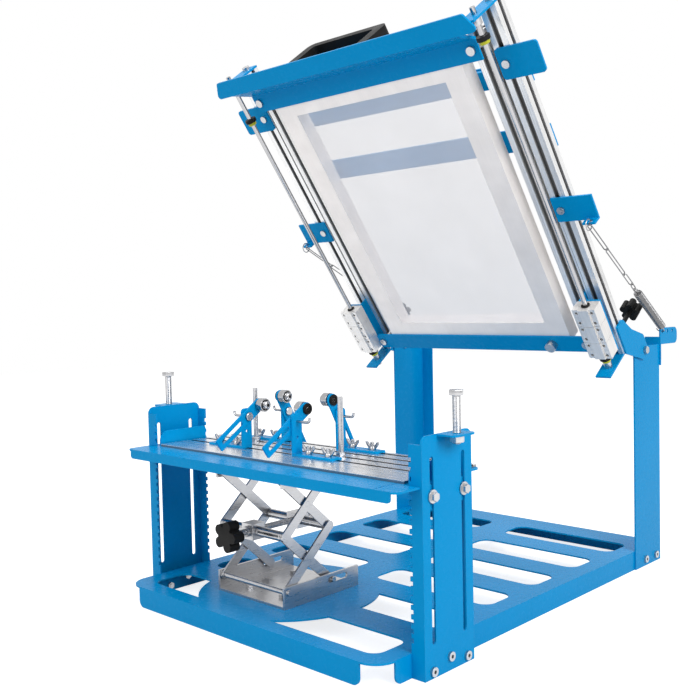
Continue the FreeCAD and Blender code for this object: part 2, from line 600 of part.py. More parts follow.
def jack_bars(name, layer, holes, pins):
    """Two bars from a first pivot to a second, with loose holes and fixed pins along them.

    A pin is its place along the bar, and how far it reaches from the middle of the jack and to where.
    """
    made = []
    for side, sign in SIDES.items():
        owner = body("%s_bar_%s" % (name, side))
        wide = "jack_bar_wide / 2"
        start = mirrored(sign, LAYERS[layer], "jack_bar_thick")
        pad(owner, "yz", "%s_flat_%s" % (name, side), box_of(
            "-" + wide, "-" + wide, "jack_bar + " + wide, wide, "jack_bar_wide * nearly_half_share"),
            "jack_bar_thick", start,
            circles=[(spot, "0", "jack_rod_radius + running_gap") for spot in holes])
        fixed = [pin("%s_pin_%s_%d" % (name, side, number + 1), "jack_rod_radius",
                     "(%s) - (%s)" % (finish, begin),
                     (mirrored(sign, begin, "(%s) - (%s)" % (finish, begin)), spot, "0"), "x")
                 for number, (spot, begin, finish) in enumerate(pins)]
        made.append(join("%s_side_%s" % (name, side), [owner] + fixed))
    return group(name + "_pair", made)


def set_jack(name, item, angle, at_y, at_z):
    """Turns a pair of bars and sets their first pivot in place."""
    tilt(item, angle)
    place(item, ("jack_x", at_y, at_z))
    return keep(group(name, [item]))


base = jack_plate("jack_base_plate", "tray_height", "jack_low_z + jack_lug_over", "tray_height",
                  "jack_low_z")
feet = [hexagon("jack_foot_nut_%d" % (spot + 1), "nut_radius", "nut_height", (
    "jack_x + %d * jack_half / 2" % (spot % 2 * 2 - 1),
    "jack_front + jack_depth * %s" % ("foot_nut_front_share", "foot_nut_rear_share")[spot // 2],
    "tray_height + jack_plate")) for spot in range(4)]
keep(group("jack_base", [join("jack_base_all", [base, jack_rod("jack_base_rod", "jack_pivot_y",
                                                               "jack_low_z")] + feet)]))
OUTER = "jack_half - jack_lug_thick - jack_gap"
set_jack("jack_lower_arms", jack_bars("lower_arm", 0, ["0"], [
    ("jack_bar / 2", LAYERS[1], OUTER), ("jack_bar", "block_half / 2", OUTER)]),
    "jack_angle", "jack_pivot_y", "jack_low_z")
set_jack("jack_lower_crossers", jack_bars("lower_crosser", 1, ["jack_bar / 2"], [
    ("0", "block_half / 2", OUTER), ("jack_bar", LAYERS[1], "jack_half + jack_rod_over")]),
    "-jack_angle", "jack_pivot_y", MIDDLE_Z)
set_jack("jack_upper_arms", jack_bars("upper_arm", 1, ["0", "jack_bar"], [
    ("jack_bar / 2", LAYERS[1], OUTER)]), "-jack_angle", "jack_pivot_y", TOP_Z)
set_jack("jack_upper_crossers", jack_bars("upper_crosser", 0, ["0", "jack_bar / 2"], [
    ("jack_bar", LAYERS[1], "jack_half + jack_rod_over")]), "jack_angle", "jack_pivot_y", MIDDLE_Z)
top = jack_plate("jack_top_plate", TOP_Z + " - jack_lug_over", "jack_top_z", "jack_top_z - jack_plate",
                 TOP_Z)
keep(group("jack_top", [join("jack_top_all", [top, jack_rod("jack_top_rod", "jack_pivot_y", TOP_Z)])]))

for name, at_y in (("jack_trunnion", "jack_pivot_y"), ("jack_nut", BACK_Y)):
    cube = block(name + "_cube", ["block_half * 2"] * 3, (
        "jack_x - block_half", at_y + " - block_half", MIDDLE_Z + " - block_half"))
    across = pin(name + "_across", "jack_rod_radius + running_gap", "block_half * 2 + overrun * 2",
                 ("jack_x - block_half - overrun", at_y, MIDDLE_Z), "x")
    along = pin(name + "_along", "jack_screw_radius + running_gap", "block_half * 2 + overrun * 2",
                ("jack_x", at_y + " - block_half - overrun", MIDDLE_Z), "y")
    keep(cut(name, cube, [across, along]))
start_y = "jack_pivot_y - jack_screw_rear"
shaft = pin("jack_shaft", "jack_screw_radius", "jack_screw_reach", ("jack_x", start_y, MIDDLE_Z), "y")
collars = [pin("jack_collar_%d" % (spot + 1), "jack_collar_radius", "jack_collar_length", (
    "jack_x", at_y, MIDDLE_Z), "y") for spot, at_y in enumerate((
        "jack_pivot_y - block_half - head_gap - jack_collar_length",
        "jack_pivot_y + block_half + head_gap"))]
keep(join("jack_screw", [shaft] + collars))


def star(radius, thick, bore, deep):
    """A knob with five lobes along Z, with a blind hole below for its screw."""
    lobes = []
    for turn in range(5):
        angle = math.radians(turn * 360 / 5)
        reach = radius * size("star_offset_share")
        lobes.append(Part.makeCylinder(radius * size("star_lobe_share"), thick,
                                       Vector(reach * math.cos(angle), reach * math.sin(angle), 0)))
    whole = Part.makeCylinder(radius * size("star_waist_share"), thick).multiFuse(lobes)
    return whole.removeSplitter().cut(Part.makeCylinder(bore, deep))


knob = solid("jack_knob_star", star(size("jack_knob_radius"), size("jack_knob_thick"),
                                    size("jack_screw_radius"), size("jack_knob_thick / 2")))
knob.Placement = FreeCAD.Placement(Vector(), FreeCAD.Rotation(X_AXIS, 90))
place(knob, ("jack_x", start_y + " + jack_knob_thick / 2", MIDDLE_Z))
keep(group("jack_knob", [knob]))

# Platform: its ears slide inside the front posts and are bolted through their slots

platform = body("platform")
half_plan = [
    ("platform_half", "platform_front", "platform_round"),
    ("platform_half", "front_post_front - hinge_gap"),
    ("platform_neck", "front_post_front - hinge_gap"),
    ("platform_neck", "front_post_front + wall + hinge_gap"),
    ("platform_half", "front_post_front + wall + hinge_gap"),
    ("platform_half", "front_post_front + front_post_width - wall - hinge_gap"),
    ("platform_neck", "front_post_front + front_post_width - wall - hinge_gap"),
    ("platform_neck", "platform_rear", "platform_round"),
]
plan = half_plan + [("-" + corner[0],) + corner[1:] for corner in reversed(half_plan)]
pad(platform, "xy", "platform_top", plan, "wall", "platform_z - wall")
pad(platform, "xz", "platform_lip_front", [
    ("-platform_half + platform_round", "platform_z - platform_lip", "platform_round / 2"),
    ("platform_half - platform_round", "platform_z - platform_lip", "platform_round / 2"),
    ("platform_half - platform_round", "platform_z"), ("-platform_half + platform_round", "platform_z")],
    "wall", "-platform_front - wall")
for side, sign in SIDES.items():
    pad(platform, "yz", "platform_ear_" + side, [
        ("front_post_front + wall + ear_inset", "ear_low", "ear_inset"),
        ("front_post_front + front_post_width - wall - ear_inset", "ear_low", "ear_inset"),
        ("front_post_front + front_post_width - wall - ear_inset", "platform_z"),
        ("front_post_front + wall + ear_inset", "platform_z")],
        "wall", mirrored(sign, "platform_half - wall", "wall"),
        circles=[("front_post_front + post_slot_inset", "ear_bolt_z", "screw_radius"),
                 ("front_post_front + front_post_width - post_slot_inset", "ear_bolt_z",
                  "screw_radius")])
    pad(platform, "yz", "platform_wing_" + side, [
        ("front_post_front + wall * 2", "platform_z - wall"),
        ("front_post_front + front_post_width - wall * 2", "platform_z - wall"),
        ("front_post_front + front_post_width - wall * 2", "ear_high", "ear_inset"),
        ("front_post_front + wall * 2", "ear_high", "ear_high_round")],
        "wall", mirrored(sign, "platform_neck - wall", "wall"))
    low_x, high_x = "slit_x", "slit_x + slit_width"
    if sign == "-1":
        low_x, high_x = "-slit_x - slit_width", "-slit_x"
    pocket(platform, "xy", "platform_slit_" + side, box_of(
        low_x, "platform_front + slit_inset", high_x, "front_post_front + slit_inset"),
        start="platform_z", deep="wall")
keep(platform)

pieces = []
for side, sign in SIDES.items():
    for number, spot in enumerate(("front_post_front + post_slot_inset",
                                   "front_post_front + front_post_width - post_slot_inset")):
        name = "ear_bolt_%s_%d" % (side, number + 1)
        face = "tray_width / 2 + front_post_lip + head_gap"
        washer = pin(name + "_washer", "ear_washer_radius", "ear_washer_thick",
                     (mirrored(sign, face, "ear_washer_thick"), spot, "ear_bolt_z"), "x")
        head = hexagon(name + "_head", "nut_radius", "nut_height",
                       (mirrored(sign, face + " + ear_washer_thick", "nut_height"), spot, "ear_bolt_z"), "x")
        shank = pin(name + "_shank", "screw_radius", "ear_bolt_length", (
            mirrored(sign, face + " - ear_bolt_length", "ear_bolt_length"), spot, "ear_bolt_z"), "x")
        nut = hexagon(name + "_nut", "nut_radius", "nut_height",
                      (mirrored(sign, "platform_half - wall - nut_height", "nut_height"), spot,
                       "ear_bolt_z"), "x")
        pieces.append(join(name, [washer, head, shank, nut]))
keep(group("platform_bolts", pieces))

# Slotted plate, and the two stop rods that stand on it

plate = body("slot_plate")
pad(plate, "xy", "plate_flat", box_of("-plate_half", "plate_front", "plate_half", "plate_rear"),
    "plate_thick", "platform_z")
groove = pocket(plate, "xy", "plate_groove", box_of(
    "-plate_half - overrun", "groove_first - groove_width / 2", "plate_half + overrun",
    "groove_first + groove_width / 2"), start="platform_z + plate_thick", deep="groove_depth")
repeat(plate, "plate_grooves", [groove], "Y", "groove_pitch", "groove_rows")
pocket(plate, "xy", "plate_strip_line", box_of(
    "-plate_half - overrun", "strip_line", "plate_half + overrun", "strip_line + strip_line_width"),
    start="platform_z + plate_thick", deep="strip_line_depth")
keep(plate)

PLATE_TOP = "platform_z + plate_thick"
pieces = []
for name, at_x, row in (("stop_rod_one", "stop_rod_left", 2), ("stop_rod_two", "stop_rod_right", 1)):
    at_y = "groove_first + groove_pitch * %d" % row
    rod = pin(name + "_rod", "stop_rod_radius", "stop_rod_length + groove_depth",
              (at_x, at_y, PLATE_TOP + " - groove_depth"))
    nut = hexagon(name + "_nut", "rod_nut_radius", "rod_nut_height",
                  (at_x, at_y, PLATE_TOP))
    pieces.append(join(name, [rod, nut]))
keep(group("stop_rods", pieces))

# Roller stands: each has a foot held by two wing nuts, and a tilting arm that carries a roller. The
# feet point outwards, so the left pair is the right pair mirrored, and the rollers are on the inside.

STANDS = (("-1", "stand_left", "stand_front", "-front_tilt_angle"),
          ("-1", "stand_left", "stand_rear", "rear_tilt_angle"),
          ("1", "stand_right_front", "stand_front", "-front_tilt_angle"),
          ("1", "stand_right_rear", "stand_rear", "rear_tilt_angle"))


def outer_side(sign, near, length):
    """Where a piece starts along X that leaves the inner face of an upright at near, going outwards."""
    return near if sign == "1" else "-(%s) - (%s)" % (near, length)


def side_pin(name, sign, radius, near, length, at_y="0", at_z="0"):
    """A cylinder along X, placed from the inner face of an upright."""
    return pin(name, radius, length, (outer_side(sign, near, length), at_y, at_z), "x")


def wing_nut(name, sign, near):
    """A screw through the foot, with a round nut that has two wings."""
    low = "foot_thick"
    middle = "%s * (%s)" % (sign, near)
    screw = pin(name + "_screw", "foot_screw_radius", "foot_screw_drop + foot_thick + foot_screw_high",
                (middle, "0", "-foot_screw_drop"))
    nut = pin(name + "_nut", "wing_radius", "wing_dip", (middle, "0", low))
    wings = body(name + "_wings")
    pad(wings, "xz", name + "_wing_flat", [
        (middle + " - wing_radius", low), (middle + " + wing_radius", low),
        (middle + " + wing_span / 2", low + " + wing_high"),
        (middle + " + wing_span / 2 - wing_tip", low + " + wing_high"),
        (middle, low + " + wing_dip"),
        (middle + " - wing_span / 2 + wing_tip", low + " + wing_high"),
        (middle + " - wing_span / 2", low + " + wing_high")], "wing_thick", "-wing_thick / 2")
    return [screw, nut, wings]


for number, (sign, at_x, at_y, turn) in enumerate(STANDS, start=1):
    pivot_z = "tilt_pivot_high"
    inner_arm = "-tilt_gap - tilt_thick"
    inner_cap = inner_arm + " - head_gap - cap_length"
    foot = block("foot_%d" % number, ("foot_length", "foot_width", "foot_thick"),
                 (outer_side(sign, "0", "foot_length"), "-foot_width / 2", "0"))
    upright = body("upright_%d" % number)
    pad(upright, "yz", "upright_flat_%d" % number, [
        ("-upright_wide / 2", "0"), ("upright_wide / 2", "0"),
        ("upright_wide / 2", "upright_high", "upright_wide * upright_round_share"),
        ("-upright_wide / 2", "upright_high", "upright_wide * upright_round_share")],
        "foot_thick", outer_side(sign, "0", "foot_thick"),
        circles=[("0", "upright_hole_high", "side_screw_radius")])
    pivot = side_pin("tilt_pin_%d" % number, sign, "tilt_pin_radius", inner_cap,
                     "foot_thick + tilt_gap + tilt_thick + head_gap + cap_length", at_z=pivot_z)
    cap = side_pin("tilt_cap_%d" % number, sign, "cap_radius", inner_cap, "cap_length", at_z=pivot_z)
    clamp = side_pin("clamp_%d" % number, sign, "side_screw_radius", "foot_thick", "side_screw_length",
                     at_z=pivot_z)
    bend = pin("clamp_bend_%d" % number, "side_grip_radius", "side_screw_bend",
               (sign + " * (foot_thick + side_screw_length)", "0", pivot_z + " - side_grip_radius"))
    nuts = (wing_nut("near_nut_%d" % number, sign, "foot_screw_near")
            + wing_nut("far_nut_%d" % number, sign, "foot_screw_far"))
    stand = join("stand_all_%d" % number, [foot, upright, pivot, cap, clamp, bend] + nuts)
    place(stand, (at_x, at_y, PLATE_TOP))
    keep(group("stand_%d" % number, [stand]))

    arm_body = body("tilt_plate_%d" % number)
    half, low = "tilt_wide / 2", "-tilt_below"
    pad(arm_body, "yz", "tilt_flat_%d" % number, [
        ("-" + half, low, "tilt_corner"), (half, low, "tilt_corner"),
        (half, "tilt_above + " + half, "tilt_wide * nearly_half_share"),
        ("-" + half, "tilt_above + " + half, "tilt_wide * nearly_half_share")],
        "tilt_thick", outer_side(sign, inner_arm, "tilt_thick"),
        circles=[("0", "0", "tilt_pin_radius + running_gap")])
    pocket(arm_body, "yz", "tilt_slot_%d" % number, box_of(
        "-tilt_slot_width / 2", "-tilt_slot_far", "tilt_slot_width / 2", "-tilt_slot_near"))
    inner_end = inner_arm + " - hub_length * 2 - roller_width - head_gap * 2 - cap_length"
    axle_length = "cap_length * 2 + roller_width + hub_length * 2 + head_gap * 2 + tilt_thick"
    axle = side_pin("axle_%d" % number, sign, "axle_radius", inner_end, axle_length, at_z="tilt_above")
    end_cap = side_pin("end_cap_%d" % number, sign, "cap_radius", inner_end, "cap_length",
                       at_z="tilt_above")
    side_cap = side_pin("side_cap_%d" % number, sign, "side_cap_radius", "-tilt_gap", "cap_length",
                        at_z="tilt_above")
    tilt_item = join("tilt_all_%d" % number, [arm_body, axle, end_cap, side_cap])
    tilt(tilt_item, turn)
    place(tilt_item, (at_x, at_y, PLATE_TOP + " + " + pivot_z))
    keep(group("tilt_arm_%d" % number, [tilt_item]))

    tyre = side_pin("tyre_%d" % number, sign, "roller_radius",
                    inner_arm + " - head_gap - hub_length - roller_width", "roller_width",
                    at_z="tilt_above")
    hub_start = inner_arm + " - head_gap - hub_length * 2 - roller_width"
    hub = side_pin("hub_%d" % number, sign, "hub_radius", hub_start, "roller_width + hub_length * 2",
                   at_z="tilt_above")
    bore = side_pin("bore_%d" % number, sign, "axle_radius + running_gap", hub_start + " - overrun",
                    "roller_width + hub_length * 2 + overrun * 2", at_z="tilt_above")
    roller_item = cut("roller_all_%d" % number, join("roller_solid_%d" % number, [tyre, hub]), [bore])
    tilt(roller_item, turn)
    place(roller_item, (at_x, at_y, PLATE_TOP + " + " + pivot_z))
    keep(group("roller_%d" % number, [roller_item]))


# The swinging arm, drawn level

def reach_y(reach):
    """Where a distance forward of the hinge lies along Y."""
    return "-(%s)" % reach


def rise_z(rise):
    """Where a height above the guide rods lies along Z."""
    return "%s - rod_drop" % rise


def arm_block(name, low_x, high_x, near, far, low, high):
    """A bound box between two values of x, of reach and of rise."""
    return block(name, ("(%s) - (%s)" % (high_x, low_x), "(%s) - (%s)" % (far, near),
                        "(%s) - (%s)" % (high, low)), (low_x, reach_y(far), rise_z(low)))


def sides_of(sign, low, high):
    """The lowest and highest x of a piece, on the side that sign gives."""
    return (low, high) if sign == "1" else ("-(%s)" % high, "-(%s)" % low)


def along(name, radius, at_x, near, far, rise):
    """A cylinder along the arm."""
    return pin(name, radius, "(%s) - (%s)" % (far, near), (at_x, reach_y(far), rise_z(rise)), "y")


def upward(name, radius, at_x, reach, low, high):
    """A cylinder square to the arm."""
    return pin(name, radius, "(%s) - (%s)" % (high, low), (at_x, reach_y(reach), rise_z(low)))


def rail_profile(low_x, low):
    """The outline of a square rail with a groove in each side."""
    half, groove, deep = "rail_size / 2", "rail_groove / 2", "rail_size / 2 - rail_groove_depth"
    side = [("-" + half, "-" + half), ("-" + groove, "-" + half), ("-" + groove, "-(%s)" % deep),
            (groove, "-(%s)" % deep), (groove, "-" + half)]
    spots = []
    for turn in range(4):
        for across, up in side:
            spots.append((across, up))
        side = [("-(%s)" % up, across) for across, up in side]
    middle_x, middle_z = "%s + rail_size / 2" % low_x, rise_z("%s + rail_size / 2" % low)
    return [("%s + %s" % (middle_x, across), "%s + %s" % (middle_z, up)) for across, up in spots]


def rail(name, low_x, low, near, far):
    owner = body(name)
    pad(owner, "xz", name + "_length", rail_profile(low_x, low), "(%s) - (%s)" % (far, near), near,
        circles=[("%s + rail_size / 2" % low_x, rise_z("%s + rail_size / 2" % low), "rail_bore_radius")])
    return owner


RAIL_OUT = "rail_in + rail_size"
for side, sign in SIDES.items():
    low_x = sides_of(sign, "rail_in", RAIL_OUT)[0]
    keep(rail("arm_rail_" + side, low_x, "rail_low", "rail_start", "rail_end"), arm=True)
for side, sign in SIDES.items():
    keep(group("guide_rod_" + side, [along("rod_" + side, "rod_radius", sign + " * rod_x", "rod_start",
                                           "rod_end", "0")]), arm=True)

pieces = []
for side, sign in SIDES.items():
    low_x, high_x = sides_of(sign, "end_plate_in", "end_plate_out")
    for name, near in (("end_plate_rear_" + side, "rail_start - end_plate"),
                       ("end_plate_front_" + side, "rail_end")):
        flat = arm_block(name + "_flat", low_x, high_x, near, near + " + end_plate",
                         "end_plate_low", "end_plate_high")
        hole = along(name + "_hole", "rod_radius + running_gap", sign + " * rod_x", near + " - overrun",
                     near + " + end_plate + overrun", "0")
        pieces.append(cut(name, flat, [hole]))
keep(group("end_plates", pieces), arm=True)

for side, sign in SIDES.items():
    bracket = body("hinge_bracket_" + side)
    plate_low = "tray_width / 2 + wall + hinge_gap"
    outline = [
        ("-hinge_lobe", "rod_drop - hinge_lobe", "hinge_lobe * lobe_round_share"),
        ("bracket_low", "bracket_low", "bracket_round"),
        ("bracket_far", "bracket_low", "bracket_round"),
        ("bracket_far", "rail_low + rail_size", "bracket_round"),
        ("bracket_waist_reach", "bracket_waist_rise", "bracket_round * 4"),
        ("bracket_neck_reach", "rod_drop + hinge_lobe", "hinge_lobe * lobe_round_share"),
        ("-hinge_lobe", "rod_drop + hinge_lobe", "hinge_lobe * lobe_round_share")]
    pad(bracket, "yz", "bracket_plate_" + side,
        [(reach_y(c[0]), rise_z(c[1])) + c[2:] for c in outline],
        "bracket_thick", mirrored(sign, plate_low, "bracket_thick"),
        circles=[("0", "0", "hinge_pin_radius + running_gap")])
    low_x, high_x = sides_of(sign, "rail_in", plate_low + " + bracket_thick")
    pad(bracket, "xy", "bracket_leg_" + side, box_of(
        low_x, reach_y("bracket_leg_end"), high_x, reach_y("bracket_leg_start")),
        "bracket_thick", rise_z("rail_low + rail_size"),
        circles=[(sign + " * rod_x", reach_y("star_reach"), "star_screw_radius + running_gap")])
    keep(bracket, arm=True)

# Star knobs that clamp the brackets on the rails, each with its own screw

for side, sign in SIDES.items():
    name = "star_knob_" + side
    top = solid(name + "_star", star(size("star_radius"), size("star_thick"),
                                     size("star_screw_radius"), size("star_thick / 3")))
    place(top, (sign + " * rod_x", reach_y("star_reach"), rise_z("star_rise")))
    screw = upward(name + "_screw", "star_screw_radius", sign + " * rod_x", "star_reach",
                   "rail_low + rail_size - rail_groove_depth + overrun / 2", "star_rise + star_thick / 3")
    keep(join(name, [top, screw]), arm=True)

# Pads under the rails

pieces = []
for side, sign in SIDES.items():
    low_x, high_x = sides_of(sign, "pad_in", "pad_out")
    top_z = rise_z("rail_low - pad_thick")
    stop_pad = body("stop_pad_" + side)
    corners = box_of(low_x, reach_y("stop_pad_end"), high_x, reach_y("stop_pad_start"), "pad_round")
    pad(stop_pad, "xy", "stop_pad_flat_" + side, corners, "pad_thick", top_z)
    pieces.append(stop_pad)
    chain_pad = body("chain_pad_" + side)
    corners = box_of(low_x, reach_y("chain_pad_end"), high_x, reach_y("chain_pad_start"))
    pad(chain_pad, "xy", "chain_pad_flat_" + side, corners, "pad_thick", top_z)
    low_x, high_x = sides_of(sign, "chain_lip_in", "pad_out")
    pad(chain_pad, "xz", "chain_lip_" + side, box_of(
        low_x, rise_z("rail_low - chain_lip"), high_x, rise_z("rail_low")),
        "pad_thick", "chain_pad_start",
        circles=[(sign + " * hook_x", rise_z("hook_rise"), "hook_hole_radius")])
    pieces.append(chain_pad)
    ring = doc.addObject("Part::Torus", "chain_ring_" + side)
    ring.setExpression("Radius1", bound("ring_radius"))
    ring.setExpression("Radius2", bound("wire / 2"))
    ring.Placement = FreeCAD.Placement(Vector(), TURNS["x"])
    place(ring, (sign + " * hook_x", reach_y("chain_pad_start + pad_thick / 2"),
                 rise_z("hook_rise - ring_radius")))
    pieces.append(ring)
keep(group("chain_brackets", pieces), arm=True)

# Screws, collars and bumpers of the arm

pieces = []
for side, sign in SIDES.items():
    at_x = sign + " * rod_x"
    front, rear = "rail_end + end_plate", "rail_start - end_plate"
    for name, near, far in (
            ("front_bolt_" + side, front, front + " + end_bolt_height"),
            ("rear_bolt_" + side, rear + " - end_bolt_height", rear)):
        pieces.append(along(name, "end_bolt_radius", at_x, near, far, "end_bolt_rise"))
    for name, near in (("front_collar_" + side, "rail_end - collar_length"),
                       ("rear_collar_" + side, "rail_start")):
        collar = along(name + "_ring", "collar_radius", at_x, near, near + " + collar_length", "0")
        hole = along(name + "_hole", "rod_radius + running_gap", at_x, near + " - overrun",
                     near + " + collar_length + overrun", "0")
        pieces.append(cut(name, collar, [hole]))
    for number, (near, far) in enumerate((("stop_pad_start", "stop_pad_end"),
                                          ("chain_pad_start", "chain_pad_end"))):
        name = "pad_screw_%s_%d" % (side, number + 1)
        pieces.append(upward(name, "screw_head_radius", at_x, "(%s + %s) / 2" % (near, far),
                             "rail_low - pad_thick - screw_head_height", "rail_low - pad_thick"))
keep(group("arm_screws", pieces), arm=True)

pieces = []
for side, sign, near in (("left", "-1", "bumper_left"), ("right", "1", "bumper_right"),
                         ("left_low", "-1", "rail_start + collar_length"),
                         ("right_low", "1", "rail_start + collar_length")):
    at_x = sign + " * rod_x"
    name = "bumper_" + side
    neck = along(name + "_neck", "bumper_radius - bumper_ring / 2", at_x, near,
                 near + " + bumper_ring", "0")
    wide = along(name + "_wide", "bumper_radius", at_x, near + " + bumper_ring",
                 near + " + bumper_length + bumper_ring", "0")
    hole = along(name + "_hole", "rod_radius + running_gap", at_x, near + " - overrun",
                 near + " + bumper_length + bumper_ring + overrun", "0")
    pieces.append(cut(name, join(name + "_both", [wide, neck]), [hole]))
keep(group("bumpers", pieces), arm=True)

# Bars across the rails, for the squeegee

pieces = []
for name, near, far, fold_at in (("front_squeegee_bar", "front_bar_start", "front_bar_end",
                                  "front_bar_end - bar_thick"),
                                 ("rear_squeegee_bar", "rear_bar_start", "rear_bar_end",
                                  "rear_bar_start")):
    bar = body(name)
    base_z = rise_z("rail_low + rail_size")
    pad(bar, "xy", name + "_flat", box_of("-bar_half", reach_y(far), "bar_half", reach_y(near)),
        "bar_thick", base_z)
    pad(bar, "xz", name + "_fold", box_of(
        "-bar_half + rail_size", base_z, "bar_half - rail_size", base_z + " + bar_fold"),
        "bar_thick", fold_at)
    hole = pocket(bar, "xz", name + "_slot", box_of(
        "-bar_slot_pitch * (bar_slots - 1) / 2 - bar_slot_length / 2", base_z + " + bar_fold / 2 - overrun",
        "-bar_slot_pitch * (bar_slots - 1) / 2 + bar_slot_length / 2",
        base_z + " + bar_fold - bar_thick"))
    repeat(bar, name + "_slots", [hole], "X", "bar_slot_pitch", "bar_slots")
    pieces.append(bar)
keep(group("squeegee_bars", pieces), arm=True)

# The carriage that slides along the guide rods

pieces = []
for side, sign in SIDES.items():
    for number in range(int(size("block_count"))):
        name = "bearing_block_%s_%d" % (side, number + 1)
        near = "block_start + %d * block_pitch" % number
        low_x, high_x = sides_of(sign, "rod_x - block_out", "rod_x + block_out")
        whole = arm_block(name + "_block", low_x, high_x, near, near + " + block_length",
                          "-block_low + block_hump_high", "block_high")
        low_x, high_x = sides_of(sign, "rod_x - block_hump", "rod_x + block_hump")
        hump = arm_block(name + "_hump", low_x, high_x, near, near + " + block_length",
                         "-block_low", "0")
        hole = along(name + "_bore", "rod_radius + running_gap", sign + " * rod_x", near + " - overrun",
                     near + " + block_length + overrun", "0")
        tools = [hole]
        for spot in range(4):
            at_x = "%s * rod_x + %d * hole_spread_x / 2" % (sign, spot % 2 * 2 - 1)
            reach = "%s + block_length / 2 + %d * hole_spread_y / 2" % (near, spot // 2 * 2 - 1)
            tools.append(upward("%s_hole_%d" % (name, spot + 1), "block_screw_radius", at_x, reach,
                                "-block_low - overrun", "0"))
        pieces.append(cut(name, join(name + "_all", [whole, hump]), tools))
keep(group("bearing_blocks", pieces), arm=True)

pieces = []
BLOCKS_END = "block_start + block_pitch * block_count"
for side, sign in SIDES.items():
    angle = body("carriage_angle_" + side)
    low_x, high_x = sides_of(sign, "angle_web_in", "rod_x + block_out")
    pad(angle, "xy", "angle_base_" + side, box_of(
        low_x, reach_y(BLOCKS_END), high_x, reach_y("block_start")), "bar_thick", rise_z("block_high"))
    pad(angle, "yz", "angle_web_" + side, [
        (reach_y(BLOCKS_END), rise_z("block_high")),
        (reach_y("block_start"), rise_z("block_high")),
        (reach_y("block_start"), rise_z("angle_high"), "bracket_round"),
        (reach_y(BLOCKS_END), rise_z("angle_high"), "bracket_round")],
        "bar_thick", mirrored(sign, "angle_web_in", "bar_thick"))
    pieces.append(angle)
keep(group("carriage_angles", pieces), arm=True)

pieces = []
for side, sign in SIDES.items():
    low_x = sides_of(sign, "inner_in", "inner_in + rail_size")[0]
    pieces.append(rail("inner_rail_" + side, low_x, "inner_low", "inner_start", "inner_end"))
keep(group("inner_rails", pieces), arm=True)

rear = body("rear_bar")
pad(rear, "xy", "rear_bar_flat", box_of(
    "-cross_half", reach_y("rear_cross_end"), "cross_half", reach_y("rear_cross_start"), "pad_round"),
    "cross_thick", rise_z("frame_low - cross_thick"),
    circles=[("-cross_bolt_x", reach_y("cross_bolt_rear"), "cross_bolt_radius + running_gap"),
             ("cross_bolt_x", reach_y("cross_bolt_rear"), "cross_bolt_radius + running_gap")])
keep(rear, arm=True)

front = body("front_bar")
pad(front, "xy", "front_bar_clamp", box_of(
    "-cross_half", reach_y("front_cross_end"), "cross_half", reach_y("front_cross_start")),
    "cross_thick", rise_z("frame_low - cross_thick"),
    circles=[("-cross_bolt_x", reach_y("cross_bolt_front"), "cross_bolt_radius + running_gap"),
             ("cross_bolt_x", reach_y("cross_bolt_front"), "cross_bolt_radius + running_gap")])
pad(front, "yz", "front_bar_slope", [
    (reach_y("front_cross_end"), rise_z("frame_low")),
    (reach_y("front_cross_end - cross_thick"), rise_z("frame_low - cross_thick")),
    (reach_y("front_plate_start"), rise_z("-front_plate_low")),
    (reach_y("front_plate_start + cross_thick"), rise_z("-front_plate_low + cross_thick"))],
    "cross_half * 2", "-cross_half")
pad(front, "xy", "front_bar_plate", [
    ("-front_plate_half + front_plate_slant", reach_y("front_plate_end"), "pad_round"),
    ("front_plate_half - front_plate_slant", reach_y("front_plate_end"), "pad_round"),
    ("front_plate_half", reach_y("front_plate_start"), "pad_round"),
    ("-front_plate_half", reach_y("front_plate_start"), "pad_round")],
    "cross_thick", rise_z("-front_plate_low"))
keep(front, arm=True)

grip = body("handle")
plate_top = "-front_plate_low + cross_thick"
pad(grip, "xz", "handle_arch", [
    ("-handle_half", rise_z(plate_top)),
    ("-handle_half + handle_leg", rise_z(plate_top)),
    ("-handle_half + handle_leg", rise_z("handle_rise - handle_thick"), "handle_round"),
    ("handle_half - handle_leg", rise_z("handle_rise - handle_thick"), "handle_round"),
    ("handle_half - handle_leg", rise_z(plate_top)),
    ("handle_half", rise_z(plate_top)),
    ("handle_half", rise_z("handle_rise"), "handle_round * 2"),
    ("-handle_half", rise_z("handle_rise"), "handle_round * 2")],
    "handle_wide", "handle_reach - handle_wide / 2")
keep(grip, arm=True)

# Screen frame and mesh

frame_body = body("screen_frame")
pad(frame_body, "xy", "frame_outer", box_of(
    "-frame_half", reach_y("frame_end"), "frame_half", reach_y("frame_start")),
    "frame_high - frame_low", rise_z("frame_low"))
pocket(frame_body, "xy", "frame_opening", box_of(
    "-frame_half + frame_member", reach_y("frame_end - frame_member"),
    "frame_half - frame_member", reach_y("frame_start + frame_member")))
keep(frame_body, arm=True)
keep(group("screen_mesh", [arm_block(
    "mesh_sheet", "-frame_half + frame_member", "frame_half - frame_member",
    "frame_start + frame_member", "frame_end - frame_member", "frame_low", "frame_low + mesh_thick")]),
    arm=True)

# Bolts and spacers between the cross bars and the inner rails

